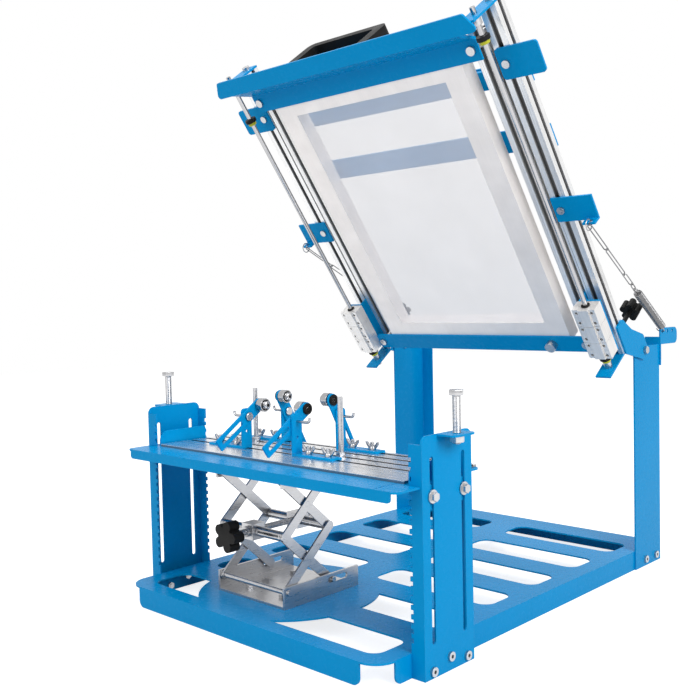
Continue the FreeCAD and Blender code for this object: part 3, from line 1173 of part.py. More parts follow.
pieces = []
for side, sign in SIDES.items():
    at_x = sign + " * cross_bolt_x"
    for number, reach in enumerate(("cross_bolt_rear", "cross_bolt_front")):
        name = "cross_bolt_%s_%d" % (side, number + 1)
        shank = upward(name + "_shank", "cross_bolt_radius", at_x, reach, "frame_low - cross_thick",
                       "inner_low")
        head = upward(name + "_head", "cross_head_radius", at_x, reach,
                      "frame_low - cross_thick - cross_head_height", "frame_low - cross_thick")
        spacer = upward(name + "_spacer", "cross_spacer_radius", at_x, reach, "frame_low", "inner_low")
        pieces.append(join(name, [shank, head, spacer]))
thumb = upward("thumb_head", "thumb_radius", "thumb_x", "cross_bolt_rear",
               "frame_low - cross_thick - thumb_length", "frame_low - cross_thick")
pieces.append(thumb)
keep(group("carriage_bolts", pieces), arm=True)

# Counterbalance: a spring and four links on each side, in a straight line from the anchor's hole to
# a ring on the arm. The line is drawn up along Z from the hole, and then turned towards the ring.

RING_REACH = "chain_pad_start + pad_thick / 2"
RING_RISE = "hook_rise - ring_radius"
ring_middle = Vector(
    size("hook_x"),
    size("hinge_y - (%s) * cos(arm_angle) + (%s - rod_drop) * sin(arm_angle)" % (RING_REACH, RING_RISE)),
    size("hinge_z + (%s) * sin(arm_angle) + (%s - rod_drop) * cos(arm_angle)" % (RING_REACH, RING_RISE)))
anchor_point = Vector(size("tray_width / 2 + wall * 1.5 + eye_radius"), size("anchor_y"), size("anchor_z"))
run = ring_middle - anchor_point
heading = Vector(run).normalize()
sideways = (X_AXIS - heading * X_AXIS.dot(heading)).normalize()
outwards = heading.cross(sideways)
line_turn = FreeCAD.Placement(FreeCAD.Matrix(
    sideways.x, outwards.x, heading.x, anchor_point.x,
    sideways.y, outwards.y, heading.y, anchor_point.y,
    sideways.z, outwards.z, heading.z, anchor_point.z,
    0, 0, 0, 1))


def arc(start, along_start, finish):
    """The circular edge that leaves start in a direction and ends at finish."""
    chord = finish - start
    across = along_start.cross(chord)
    if across.Length < 1e-9:
        return Part.LineSegment(start, finish).toShape()
    inward = across.cross(along_start).normalize()
    radius = chord.dot(chord) / (2 * chord.dot(inward))
    middle = start + inward * radius
    half = (start - middle) + (finish - middle)
    if half.Length < 1e-9:
        half = Vector(along_start)
    half.normalize()
    if half.dot(along_start) < 0:
        half = half * -1
    return Part.Arc(start, middle + half * abs(radius), finish).toShape()


def two_arcs(start, along_start, finish, along_finish):
    """Two arcs that run smoothly from one point and direction to another."""
    gap = finish - start
    total = along_start + along_finish
    spare = 2 * (1 - along_start.dot(along_finish))
    if spare < 1e-9:
        reach = gap.dot(gap) / (4 * gap.dot(along_finish))
    else:
        reach = (math.sqrt(gap.dot(total) ** 2 + spare * gap.dot(gap)) - gap.dot(total)) / spare
    meet = (start + finish + (along_start - along_finish) * reach) * 0.5
    first = arc(start, along_start, meet)
    second_back = arc(finish, along_finish * -1, meet)
    halfway = second_back.valueAt((second_back.FirstParameter + second_back.LastParameter) / 2)
    second = Part.Arc(meet, halfway, finish).toShape()
    return [first, second]


def tube(edges, thick):
    """One unbroken round wire along edges that follow on smoothly."""
    path = Part.Wire(edges)
    begin = edges[0].valueAt(edges[0].FirstParameter)
    onward = edges[0].tangentAt(edges[0].FirstParameter)
    ring = Part.Wire(Part.Circle(begin, onward, thick / 2).toShape())
    return path.makePipeShell([ring], True, False)


def spring():
    """An extension spring up the line, with a hook at each end."""
    eye, coil, loop = size("eye_radius"), size("coil_radius"), size("link_radius")
    low, pitch = size("spring_start"), size("coil_pitch")
    lead = size("coil_lead")
    points = [Vector(-2 * eye, 0, eye + size("tail")), Vector(-2 * eye, 0, eye), Vector(0, 0, eye),
              Vector(0, 0, low)]
    edges = [Part.LineSegment(points[0], points[1]).toShape(),
             Part.Arc(points[1], Vector(-eye, 0, 0), points[2]).toShape(),
             Part.LineSegment(points[2], points[3]).toShape()]
    climb = pitch / (2 * math.pi * coil)
    halves = int(size("coils")) * 2
    spots = []
    for step in range(halves + 1):
        angle = math.pi * step
        spot = Vector(coil * math.cos(angle), coil * math.sin(angle), low + lead + pitch * step / 2)
        course = Vector(-math.sin(angle), math.cos(angle), climb).normalize()
        spots.append((spot, course))
    edges += two_arcs(points[3], Vector(0, 0, 1), spots[0][0], spots[0][1])
    for (spot, course), (next_spot, next_course) in zip(spots, spots[1:]):
        edges += two_arcs(spot, course, next_spot, next_course)
    high = spots[-1][0].z + lead
    edges += two_arcs(spots[-1][0], spots[-1][1], Vector(-loop, 0, high), Vector(0, 0, 1))
    top = high + size("tail")
    edges.append(Part.LineSegment(Vector(-loop, 0, high), Vector(-loop, 0, top)).toShape())
    edges.append(Part.Arc(Vector(-loop, 0, top), Vector(0, 0, top + loop), Vector(loop, 0, top)).toShape())
    edges.append(Part.LineSegment(Vector(loop, 0, top), Vector(loop, 0, top - size("tail"))).toShape())
    return edges, top + loop


def link(low, high, turned):
    """A long link between two heights on the line, in one of two planes square to each other."""
    wide = size("link_radius")
    bottom, top = low + wide, high - wide
    edges = [Part.LineSegment(Vector(wide, 0, bottom), Vector(wide, 0, top)).toShape(),
             Part.Arc(Vector(wide, 0, top), Vector(0, 0, high), Vector(-wide, 0, top)).toShape(),
             Part.LineSegment(Vector(-wide, 0, top), Vector(-wide, 0, bottom)).toShape(),
             Part.Arc(Vector(-wide, 0, bottom), Vector(0, 0, low), Vector(wide, 0, bottom)).toShape()]
    shape = tube(edges, size("wire"))
    if turned:
        shape.rotate(Vector(), Z_AXIS, 90)
    return shape


spring_edges, spring_top = spring()
spots = []
for edge in spring_edges:
    steps = 8
    spread = edge.LastParameter - edge.FirstParameter
    spots += [edge.valueAt(edge.FirstParameter + spread * step / steps) for step in range(steps)]
travelled = [0]
for before, after in zip(spots, spots[1:]):
    travelled.append(travelled[-1] + (after - before).Length)
least = min((first - second).Length
            for index, first in enumerate(spots) for other, second in enumerate(spots[:index])
            if travelled[index] - travelled[other] > size("wire") * 4)
print("least gap of the spring to itself: %.2f mm" % (least - size("wire")))

spring_shape = tube(spring_edges, size("wire"))
spring_shape.Placement = line_turn
overlap = size("wire + link_gap")
levels = [spring_top - overlap]
links = []
lengths = [size("first_link"), size("second_link"), size("third_link")]
for number, length in enumerate(lengths):
    links.append(link(levels[-1], levels[-1] + length, number % 2 == 0))
    levels.append(levels[-1] + length - overlap)
chain_end = run.Length - size("ring_radius") + overlap + size("chain_slack")
links.append(link(levels[-1], chain_end, False))
print("last link runs %.1f mm" % (chain_end - levels[-1]))
chain_shape = Part.makeCompound(links)
chain_shape.Placement = line_turn
for side in SIDES:
    shape = spring_shape if side == "right" else spring_shape.mirror(Vector(), X_AXIS)
    keep(group("spring_" + side, [solid("spring_wire_" + side, shape)]))
keep(group("chains", [solid("chain_right", chain_shape),
                      solid("chain_left", chain_shape.mirror(Vector(), X_AXIS))]))

doc.recompute()
for item in doc.Objects:
    if "Invalid" in item.State or "Error" in item.State:
        raise RuntimeError("%s did not build: %s" % (item.Name, item.State))
os.makedirs("parts", exist_ok=True)
for item in NODES:
    if item.Shape.isNull() or not item.Shape.isValid():
        raise RuntimeError(item.Label + " has no valid shape")
    item.Shape.exportStep("parts/%s.step" % item.Label)
whole = FreeCAD.BoundBox()
for item in NODES:
    whole.add(item.Shape.BoundBox)
print(len(NODES), "pieces;", "low", whole.XMin, whole.YMin, whole.ZMin, "high", whole.XMax, whole.YMax,
      whole.ZMax)
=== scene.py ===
# %% [markdown]
# # A tabletop screen printing press in Blender
# The press prints on bottles and cups. A blue sheet steel frame carries a screen on a swinging
# arm, two long springs balance the arm, and a scissor jack lifts four small rollers that the
# bottle turns on. The shapes of most parts come from a CAD model. This lesson lights them, gives
# each finish its own material, and builds in finer meshes the parts that a CAD solid only roughs
# out.

# %% Load the CAD parts
import math

import bmesh
import bpy
from mathutils import Matrix, Vector


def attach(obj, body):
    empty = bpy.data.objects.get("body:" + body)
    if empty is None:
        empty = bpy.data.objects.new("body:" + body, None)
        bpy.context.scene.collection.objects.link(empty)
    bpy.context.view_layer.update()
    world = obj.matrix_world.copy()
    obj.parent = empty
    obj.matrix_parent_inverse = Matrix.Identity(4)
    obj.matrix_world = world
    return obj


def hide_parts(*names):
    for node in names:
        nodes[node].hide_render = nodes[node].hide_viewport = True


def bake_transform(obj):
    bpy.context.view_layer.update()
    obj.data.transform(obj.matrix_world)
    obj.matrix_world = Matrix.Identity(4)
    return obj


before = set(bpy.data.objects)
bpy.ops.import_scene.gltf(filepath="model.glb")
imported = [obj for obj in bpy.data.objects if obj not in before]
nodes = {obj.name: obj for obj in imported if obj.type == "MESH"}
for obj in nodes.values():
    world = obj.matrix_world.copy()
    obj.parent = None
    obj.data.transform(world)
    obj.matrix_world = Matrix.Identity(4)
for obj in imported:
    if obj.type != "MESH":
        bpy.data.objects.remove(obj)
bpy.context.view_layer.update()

# %% [markdown]
# ## Camera
# The picture was taken from the front right, a little above the middle of the press. A camera
# could be aimed by a constraint that tracks a point, but this one also leans by a degree. So its
# matrix is built from three angles: a turn about Z gives a level view, which is then pitched down
# and rolled. Place and angles are those that put the CAD model's corners on the corners in the
# picture.

# %% Place the camera
CAMERA_PLACE = (0.74399, -0.92776, 0.35445)
YAW, PITCH, ROLL = 43.86, 2.54, -1.24


def aimed(place, yaw, pitch, roll):
    """A matrix for a camera at place. Yaw is from +Y towards -X, pitch is down, in degrees."""
    yaw, pitch, roll = (math.radians(angle) for angle in (yaw, pitch, roll))
    ahead = Vector((-math.sin(yaw) * math.cos(pitch), math.cos(yaw) * math.cos(pitch),
                    -math.sin(pitch)))
    level = Vector((math.cos(yaw), math.sin(yaw), 0))
    above = level.cross(ahead)
    across = level * math.cos(roll) + above * math.sin(roll)
    upward = above * math.cos(roll) - level * math.sin(roll)
    turned = Matrix((across, upward, -ahead)).transposed().to_4x4()
    return Matrix.Translation(place) @ turned


lens = bpy.data.cameras.new("studio_lens")
lens.sensor_fit = "VERTICAL"
lens.sensor_height = 36
lens.lens = 48.26
lens.shift_x = 0.0066
camera = bpy.data.objects.new("studio_camera", lens)
camera.matrix_world = aimed(CAMERA_PLACE, YAW, PITCH, ROLL)
bpy.context.collection.objects.link(camera)
bpy.context.scene.camera = camera
bpy.context.scene.view_settings.view_transform = "Standard"
print("camera at", [round(value, 3) for value in camera.matrix_world.translation])

# %% [markdown]
# ## White surroundings
# The press stands in a white studio. White walls could be built round it, but they would throw a
# lot of light from every side. A world can do both jobs apart: it is plain white to the camera
# and in reflections, and it lights the press more softly. The kind of ray decides which of the
# two is used.

# %% Small helpers for node trees
def add(tree, kind, sockets=None, **settings):
    """One shader node. A socket's value may be a number, a colour or another node's output."""
    made = tree.nodes.new(kind)
    for key, value in settings.items():
        setattr(made, key, value)
    for key, value in (sockets or {}).items():
        if isinstance(value, bpy.types.NodeSocket):
            tree.links.new(value, made.inputs[key])
        else:
            made.inputs[key].default_value = value
    return made


def math_node(tree, operation, first, second=0.0, clamp=False):
    """The output of one Math node."""
    made = add(tree, "ShaderNodeMath", {0: first, 1: second}, operation=operation, use_clamp=clamp)
    return made.outputs[0]


def seen_directly(tree):
    """1 for rays that draw the picture or a reflection in it, 0 for rays that only carry light."""
    path = add(tree, "ShaderNodeLightPath")
    seen = math_node(tree, "MAXIMUM", path.outputs["Is Camera Ray"], path.outputs["Is Glossy Ray"])
    return math_node(tree, "MAXIMUM", seen, path.outputs["Is Transmission Ray"])


print("node helpers ready")

# %% White studio world
SKY_LIGHT = 0.45
world = bpy.data.worlds.new("white_studio")
world.use_nodes = True
bpy.context.scene.world = world
tree = world.node_tree
tree.nodes.clear()
soft_sky = add(tree, "ShaderNodeBackground", {"Color": (1, 0.99, 0.98, 1), "Strength": SKY_LIGHT})
white_sky = add(tree, "ShaderNodeBackground", {"Color": (1, 1, 1, 1), "Strength": 1.0})
either = add(tree, "ShaderNodeMixShader",
             {0: seen_directly(tree), 1: soft_sky.outputs[0], 2: white_sky.outputs[0]})
add(tree, "ShaderNodeOutputWorld", {"Surface": either.outputs[0]})
print("world:", world.name)

# %% [markdown]
# ## Floor
# The picture has a white ground with hardly a shadow. A plain white floor would turn grey
# wherever the lamps are far away. This floor shows its own colour plus a little light of its own,
# so that it is white where nothing shades it and keeps a faint shadow under the tray.

# %% Floor that stays white in the picture
FLOOR_HALF, FLOOR_DROP = 4.0, 0.0006
FLOOR_GREY, FLOOR_GLOW = 0.62, 0.8
floor_mesh = bpy.data.meshes.new("studio_floor")
floor_mesh.from_pydata([(-FLOOR_HALF, -FLOOR_HALF, 0), (FLOOR_HALF, -FLOOR_HALF, 0),
                        (FLOOR_HALF, FLOOR_HALF, 0), (-FLOOR_HALF, FLOOR_HALF, 0)],
                       [], [(0, 1, 2, 3)])
floor = bpy.data.objects.new("studio_floor", floor_mesh)
floor.location.z = -FLOOR_DROP
bpy.context.collection.objects.link(floor)
floor_white = bpy.data.materials.new("floor_white")
floor_white.use_nodes = True
tree = floor_white.node_tree
tree.nodes.clear()
matt = add(tree, "ShaderNodeBsdfDiffuse", {"Color": (FLOOR_GREY, FLOOR_GREY, FLOOR_GREY, 1)})
shine = math_node(tree, "MULTIPLY", seen_directly(tree), FLOOR_GLOW)
glow = add(tree, "ShaderNodeEmission", {"Color": (1, 1, 1, 1), "Strength": shine})
both = add(tree, "ShaderNodeAddShader", {0: matt.outputs[0], 1: glow.outputs[0]})
add(tree, "ShaderNodeOutputMaterial", {"Surface": both.outputs[0]})
floor_mesh.materials.append(floor_white)
print("floor:", 2 * FLOOR_HALF, "m wide")

# %% [markdown]
# ## Lamps
# A product photograph is lit by large soft boxes. A sun lamp would draw hard shadows of every
# slot, so three square area lamps are used instead: the main one from the right, a weaker one in
# front and one above. Each looks at the middle of the press.

# %% Three soft lamps
PRESS_MIDDLE = Vector((0, 0, 0.3))
LAMPS = (("key_lamp", (2.4, -0.5, 1.6), 1.4, 50), ("front_lamp", (-0.2, -2.6, 1.5), 1.8, 26),
         ("top_lamp", (-0.4, 0.2, 2.8), 2.0, 30))
for name, place, size, watts in LAMPS:
    light = bpy.data.lights.new(name, "AREA")
    light.size = size
    light.energy = watts
    lamp = bpy.data.objects.new(name, light)
    lamp.location = place
    lamp.rotation_euler = (PRESS_MIDDLE - Vector(place)).to_track_quat("-Z", "Y").to_euler()
    bpy.context.collection.objects.link(lamp)
    print(name, watts, "W")

# %% [markdown]
# ## Shared surface effects
# Three effects show on many finishes, so each is a node group that is built once. Under them lies
# a fourth, which finds edges. Real sheet has small round edges that catch the light and wear
# first. They could be cut as bevels into every mesh, but the CAD meshes stay as they are here.
# Instead the true surface direction is compared with one that is rounded over a small radius.
# Where the two differ there is an edge, and the rounded direction also makes that edge catch the
# light.

# %% Node group: edges
EDGE_START, EDGE_GAIN = 0.06, 4.0


def value_group(name, inputs, outputs):
    """An empty node group with float, colour or vector sockets, and its two end nodes."""
    made = bpy.data.node_groups.new(name, "ShaderNodeTree")
    for label, kind, value in inputs:
        socket = made.interface.new_socket(label, in_out="INPUT", socket_type="NodeSocket" + kind)
        socket.default_value = value
    for label, kind in outputs:
        made.interface.new_socket(label, in_out="OUTPUT", socket_type="NodeSocket" + kind)
    return made, made.nodes.new("NodeGroupInput"), made.nodes.new("NodeGroupOutput")


def give(tree, result, **values):
    """Sends values out of a group through the outputs of the same names."""
    for label, value in values.items():
        tree.links.new(value, result.inputs[label])


edges, given, result = value_group("soft edges", [("Radius", "Float", 0.0004)],
                                   [("Mask", "Float"), ("Normal", "Vector")])
rounded = add(edges, "ShaderNodeBevel", {"Radius": given.outputs["Radius"]}, samples=4)
flat = add(edges, "ShaderNodeNewGeometry")
turn = add(edges, "ShaderNodeVectorMath", {0: rounded.outputs[0], 1: flat.outputs["Normal"]},
           operation="DOT_PRODUCT")
fall = math_node(edges, "SUBTRACT", 1.0, turn.outputs["Value"])
mask = math_node(edges, "MULTIPLY", math_node(edges, "SUBTRACT", fall, EDGE_START), EDGE_GAIN,
                 clamp=True)
give(edges, result, Mask=mask, Normal=rounded.outputs[0])
print("group made:", edges.name)

# %% [markdown]
# Powder coat is paint that is baked on as dust. Close up it has the fine dimples of orange peel,
# it is never quite one colour, and it wears pale on the edges, where the pale colour also serves
# as a painted highlight. A painted texture could hold all that, but it would need unwrapped
# meshes. Noise in the part's own space needs none, and noise at three sizes makes the three things.

# %% Helpers for surface groups
SURFACE = [("Colour", "Color"), ("Roughness", "Float"), ("Height", "Float"), ("Normal", "Vector")]


def object_space(tree):
    """Where a point lies in its part's own space."""
    return add(tree, "ShaderNodeTexCoord").outputs["Object"]


def noise(tree, where, scale, detail):
    """The grey value of one Noise node."""
    return add(tree, "ShaderNodeTexNoise",
               {"Vector": where, "Scale": scale, "Detail": detail}).outputs["Fac"]


def ranged(tree, value, source, target):
    """Stretches a value from the source range onto the target range."""
    return add(tree, "ShaderNodeMapRange", {
        "Value": value, "From Min": source[0], "From Max": source[1],
        "To Min": target[0], "To Max": target[1]}).outputs[0]


def toned(tree, tone, colour):
    """The colour made lighter or darker: a tone of 1 leaves it as it is."""
    return add(tree, "ShaderNodeHueSaturation", {"Value": tone, "Color": colour}).outputs[0]


def mixed(tree, share, first, second):
    """The output of one colour Mix node, whose colour sockets are numbers 6 and 7."""
    return add(tree, "ShaderNodeMix", {0: share, 6: first, 7: second}, data_type="RGBA").outputs[2]


print("surface helpers ready")

# %% Node group: powder coat
# Pale blue for the edges: real wear, and a painted highlight along them too
EDGE_WEAR_AND_HIGHLIGHT_BLUE = (0.75, 0.85, 0.92, 1)
coat, given, result = value_group(
    "powder coat", [("Colour", "Color", (0.5, 0.5, 0.5, 1)), ("Wear_and_highlight", "Float", 0.3),
                    ("Roughness", "Float", 0.35)], SURFACE)
where = object_space(coat)
drift = noise(coat, where, scale=9.0, detail=3.0)
peel = noise(coat, where, scale=900.0, detail=1.0)
patchy = noise(coat, where, scale=140.0, detail=4.0)
tone = ranged(coat, drift, (0.3, 0.7), (0.97, 1.03))
tinted = toned(coat, tone, given.outputs["Colour"])
edge = add(coat, "ShaderNodeGroup", node_tree=edges)
# Edges turn pale, partly as wear and partly as a painted highlight
edge_wear_and_highlight = math_node(coat, "MULTIPLY", edge.outputs["Mask"], given.outputs["Wear_and_highlight"])
patches = ranged(coat, patchy, (0.35, 0.6), (0.3, 1.0))
edge_wear_and_highlight = math_node(coat, "MULTIPLY", edge_wear_and_highlight, patches, clamp=True)
rough = ranged(coat, patchy, (0.2, 0.8), (-0.02, 0.02))
give(coat, result, Colour=mixed(coat, edge_wear_and_highlight, tinted, mixed(coat, 0.5, tinted, EDGE_WEAR_AND_HIGHLIGHT_BLUE)),
     Roughness=math_node(coat, "ADD", given.outputs["Roughness"], rough),
     Height=peel, Normal=edge.outputs["Normal"])
print("group made:", coat.name)

# %% [markdown]
# Drawn and brushed metal has fine lines along its length. They could come from an anisotropic
# shader, but that shows no single lines close up. The same noise as before makes them when its
# space is stretched: a small scale along the line and a large one across it.

# %% Node group: drawn metal
HALF, SMEAR, EDGE_HIGHLIGHT_SHARE, GLOSS_SWING = 0.5, 0.25, 0.35, 0.6
# Near white laid on the edges as a painted highlight
PAINTED_EDGE_HIGHLIGHT = (0.95, 0.95, 0.95, 1)
drawn, given, result = value_group(
    "drawn metal", [("Colour", "Color", (0.6, 0.6, 0.6, 1)), ("Scale", "Vector", (900, 900, 9)),
                    ("Turn", "Vector", (0, 0, 0)), ("Roughness", "Float", 0.3),
                    ("Streaks", "Float", 0.2)], SURFACE)
where = object_space(drawn)
turned = add(drawn, "ShaderNodeMapping",
             {"Vector": where, "Rotation": given.outputs["Turn"]}).outputs[0]
stretched = add(drawn, "ShaderNodeVectorMath", {0: turned, 1: given.outputs["Scale"]},
                operation="MULTIPLY").outputs[0]
lines = noise(drawn, stretched, scale=1.0, detail=3.0)
smudge = noise(drawn, where, scale=30.0, detail=3.0)
swing = math_node(drawn, "MULTIPLY", math_node(drawn, "SUBTRACT", lines, HALF),
                  given.outputs["Streaks"])
smear = math_node(drawn, "MULTIPLY", math_node(drawn, "SUBTRACT", smudge, HALF), SMEAR)
tone = math_node(drawn, "ADD", math_node(drawn, "ADD", swing, smear), 1.0)
tinted = toned(drawn, tone, given.outputs["Colour"])
edge = add(drawn, "ShaderNodeGroup", node_tree=edges)
# Painted highlight: the edges are mixed towards near white
bright = math_node(drawn, "MULTIPLY", edge.outputs["Mask"], EDGE_HIGHLIGHT_SHARE)
rough = math_node(drawn, "ADD", given.outputs["Roughness"],
                  math_node(drawn, "MULTIPLY", swing, GLOSS_SWING))
give(drawn, result, Colour=mixed(drawn, bright, tinted, PAINTED_EDGE_HIGHLIGHT), Roughness=rough,
     Height=lines, Normal=edge.outputs["Normal"])
print("group made:", drawn.name)

# %% [markdown]
# Moulded plastic and rubber keep the fine grain of the mould, and handling polishes it in places.
# The cells of a Voronoi pattern look more like such grain than the soft lumps of noise do.

# %% Node group: moulded grain
MOULD_EDGE, EDGE_PALENESS, RUBBED_EDGE = 0.0008, 0.05, (0.35, 0.35, 0.36, 1)
grain, given, result = value_group(
    "moulded grain", [("Colour", "Color", (0.02, 0.02, 0.02, 1)), ("Roughness", "Float", 0.45)],
    SURFACE)
where = object_space(grain)
cells = add(grain, "ShaderNodeTexVoronoi", {"Vector": where, "Scale": 1400.0}).outputs["Distance"]
handled = noise(grain, where, scale=45.0, detail=3.0)
tone = ranged(grain, handled, (0.3, 0.7), (0.8, 1.35))
tinted = toned(grain, tone, given.outputs["Colour"])
edge = add(grain, "ShaderNodeGroup", {"Radius": MOULD_EDGE}, node_tree=edges)
pale = math_node(grain, "MULTIPLY", edge.outputs["Mask"], EDGE_PALENESS)
rough = ranged(grain, handled, (0.3, 0.7), (0.08, -0.08))
give(grain, result, Colour=mixed(grain, pale, tinted, RUBBED_EDGE),
     Roughness=math_node(grain, "ADD", given.outputs["Roughness"], rough),
     Height=cells, Normal=edge.outputs["Normal"])
print("group made:", grain.name)

# %% [markdown]
# ## Materials
# Every finish starts in the same way: one of the groups above gives colour, roughness and fine
# relief, and the Principled shader in the material itself adds what is the same all over, such as
# how metallic it is. One function makes them all, so that they differ only in the numbers that
# are handed to it.

# %% One function for all finishes
RELIEF_DEPTH = 0.0002
FINISHES = {}


def finish(name, group, inputs, metallic=0.0, bump=0.1, gloss=0.5):
    """A material from one of the groups. Returns its tree, its shader and the group's node."""
    made = bpy.data.materials.new(name)
    made.use_nodes = True
    tree = made.node_tree
    shader = tree.nodes["Principled BSDF"]
    look = add(tree, "ShaderNodeGroup", inputs, node_tree=group)
    relief = add(tree, "ShaderNodeBump", {"Strength": bump, "Distance": RELIEF_DEPTH,
                                          "Height": look.outputs["Height"],
                                          "Normal": look.outputs["Normal"]})
    tree.links.new(look.outputs["Colour"], shader.inputs["Base Color"])
    tree.links.new(look.outputs["Roughness"], shader.inputs["Roughness"])
    tree.links.new(relief.outputs[0], shader.inputs["Normal"])
    shader.inputs["Metallic"].default_value = metallic
    shader.inputs["Specular IOR Level"].default_value = gloss
    FINISHES[name] = made
    return tree, shader, look


print("relief depth:", RELIEF_DEPTH, "m")

# %% [markdown]
# The frame is powder coated in blue. The arm's metal parts were drawn straight and then put on a
# slope, so their lines are turned by the arm's angle. Metal in a white studio mirrors mostly
# white, so its own grey is set darker than it looks in the picture. The blocks, rails and screen
# frame are anodised, which makes them less of a mirror: part of their light is scattered.

# %% Paint, metals, plastics
TILT = math.radians(53.5)
PAINT = {"Colour": (0.0, 0.275, 0.61, 1), "Wear_and_highlight": 0.3, "Roughness": 0.27}


def metal(name, colour, scale, rough, streaks, bump, metallic=1.0, on_arm=False):
    """A drawn metal. The scale is small along its lines, and those on the arm are sloped."""
    return finish(name, drawn, {"Colour": (*colour, 1), "Scale": scale, "Roughness": rough,
                                "Turn": (TILT if on_arm else 0, 0, 0), "Streaks": streaks},
                  metallic, bump)


def moulded(name, colour, rough, bump, gloss):
    """A plastic or rubber."""
    return finish(name, grain, {"Colour": (*colour, 1), "Roughness": rough}, bump=bump, gloss=gloss)


finish("blue_sheet", coat, PAINT, bump=0.02, gloss=0.05)
metal("zinc_steel", (0.50, 0.50, 0.51), (500, 60, 500), rough=0.3, streaks=0.35, bump=0.05)
metal("rod_steel", (0.42, 0.42, 0.43), (1500, 8, 1500), rough=0.16, streaks=0.3, bump=0.03,
      on_arm=True)
rail_parts = metal("rail_aluminium", (0.80, 0.80, 0.80), (1300, 6, 1300), rough=0.32, streaks=0.5,
                   bump=0.05, metallic=0.7, on_arm=True)
metal("block_aluminium", (0.75, 0.74, 0.73), (900, 20, 900), rough=0.38, streaks=0.35, bump=0.06,
      metallic=0.55, on_arm=True)
metal("plate_aluminium", (0.74, 0.74, 0.75), (6, 1400, 1400), rough=0.28, streaks=0.45, bump=0.05)
metal("frame_aluminium", (0.88, 0.84, 0.82), (900, 12, 900), rough=0.45, streaks=0.08, bump=0.05,
      metallic=0.3, on_arm=True)
metal("roller_steel", (0.42, 0.42, 0.43), (1600, 200, 200), rough=0.2, streaks=0.3, bump=0.03)
metal("spring_steel", (0.22, 0.22, 0.225), (300, 300, 300), rough=0.24, streaks=0.15, bump=0.01)
moulded("black_plastic", (0.006, 0.006, 0.006), rough=0.5, bump=0.1, gloss=0.12)
moulded("stop_rubber", (0.008, 0.008, 0.008), rough=0.5, bump=0.12, gloss=0.15)
print("finishes:", sorted(FINISHES))

# %% [markdown]
# ## The screen's fabric
# The screen is a fine polyester weave that lets some light through. Single threads would take
# millions of faces. Two sine waves at right angles give the same pattern of threads and gaps in
# the shader. The UV map of the screen is in metres, so the pitch can be set in metres too. It is
# coarser here than on a real screen, so that it does not flicker in a small picture.

# %% Screen fabric
weave, given, result = value_group(
    "plain weave", [("Pitch", "Float", 0.0006), ("Colour", "Color", (0.8, 0.8, 0.84, 1))],
    [("Colour", "Color"), ("Cover", "Float"), ("Height", "Float")])
spot = add(weave, "ShaderNodeUVMap").outputs[0]
per_metre = math_node(weave, "DIVIDE", 1.0, given.outputs["Pitch"])
scaled = add(weave, "ShaderNodeVectorMath", {0: spot, "Scale": per_metre}, operation="SCALE")
parts = add(weave, "ShaderNodeSeparateXYZ", {0: scaled.outputs[0]}).outputs
across, along = (math_node(weave, "SINE", math_node(weave, "MULTIPLY", parts[axis], math.tau))
                 for axis in (0, 1))
threads = math_node(weave, "MAXIMUM", across, along)
slack = noise(weave, spot, scale=14.0, detail=2.0)
tone = ranged(weave, slack, (0.3, 0.7), (0.95, 1.04))
give(weave, result, Colour=toned(weave, tone, given.outputs["Colour"]),
     Cover=ranged(weave, threads, (-1.0, 1.0), (0.42, 0.62)), Height=threads)

fabric = bpy.data.materials.new("screen_fabric")
fabric.use_nodes = True
tree = fabric.node_tree
shader = tree.nodes["Principled BSDF"]
look = add(tree, "ShaderNodeGroup", {"Colour": (0.90, 0.88, 0.90, 1)}, node_tree=weave)
relief = add(tree, "ShaderNodeBump", {"Strength": 0.1, "Distance": 0.0001,
                                      "Height": look.outputs["Height"]})
tree.links.new(look.outputs["Colour"], shader.inputs["Base Color"])
tree.links.new(look.outputs["Cover"], shader.inputs["Alpha"])
tree.links.new(relief.outputs[0], shader.inputs["Normal"])
shader.inputs["Roughness"].default_value = 0.6
shader.inputs["Specular IOR Level"].default_value = 0.3
FINISHES["screen_fabric"] = fabric
print("group made:", weave.name)

# %% [markdown]
# ## Threads
# The stop bolts and the jack's screw have long threads. A cut thread this fine would need
# hundreds of thousands of faces, so it is a relief in the material that repeats along the screw:
# a ping-pong node turns the distance along the axis into ridges, and the grooves between them get
# painted shade.

# %% Two threaded finishes
MM = 0.001
THREAD_PITCH = 1.25 * MM


def threaded(name, axis):
    """Zinc steel with a screw thread that runs along one axis, 0 to 2 for X to Z."""
    tree, shader, look = metal(name, (0.50, 0.50, 0.51), (400, 400, 400), rough=0.28, streaks=0.3,
                               bump=0.1)
    run = add(tree, "ShaderNodeSeparateXYZ", {0: object_space(tree)}).outputs[axis]
    depth = math_node(tree, "DIVIDE", math_node(tree, "PINGPONG", run, THREAD_PITCH / 2),
                      THREAD_PITCH / 2)
    relief = add(tree, "ShaderNodeBump", {"Strength": 0.5, "Distance": 0.0005, "Height": depth,
                                          "Normal": look.outputs["Normal"]})
    tree.links.new(relief.outputs[0], shader.inputs["Normal"])
    # Painted shade in the thread's grooves: the colour darkens where the ridges are low
    shade = mixed(tree, math_node(tree, "MULTIPLY", depth, 0.55), (0.3, 0.3, 0.31, 1),
                  look.outputs["Colour"])
    groove_shaded = mixed(tree, depth, shade, look.outputs["Colour"])
    tree.links.new(groove_shaded, shader.inputs["Base Color"])


threaded("upright_thread", 2)
threaded("level_thread", 1)
print("threads:", THREAD_PITCH / MM, "mm")
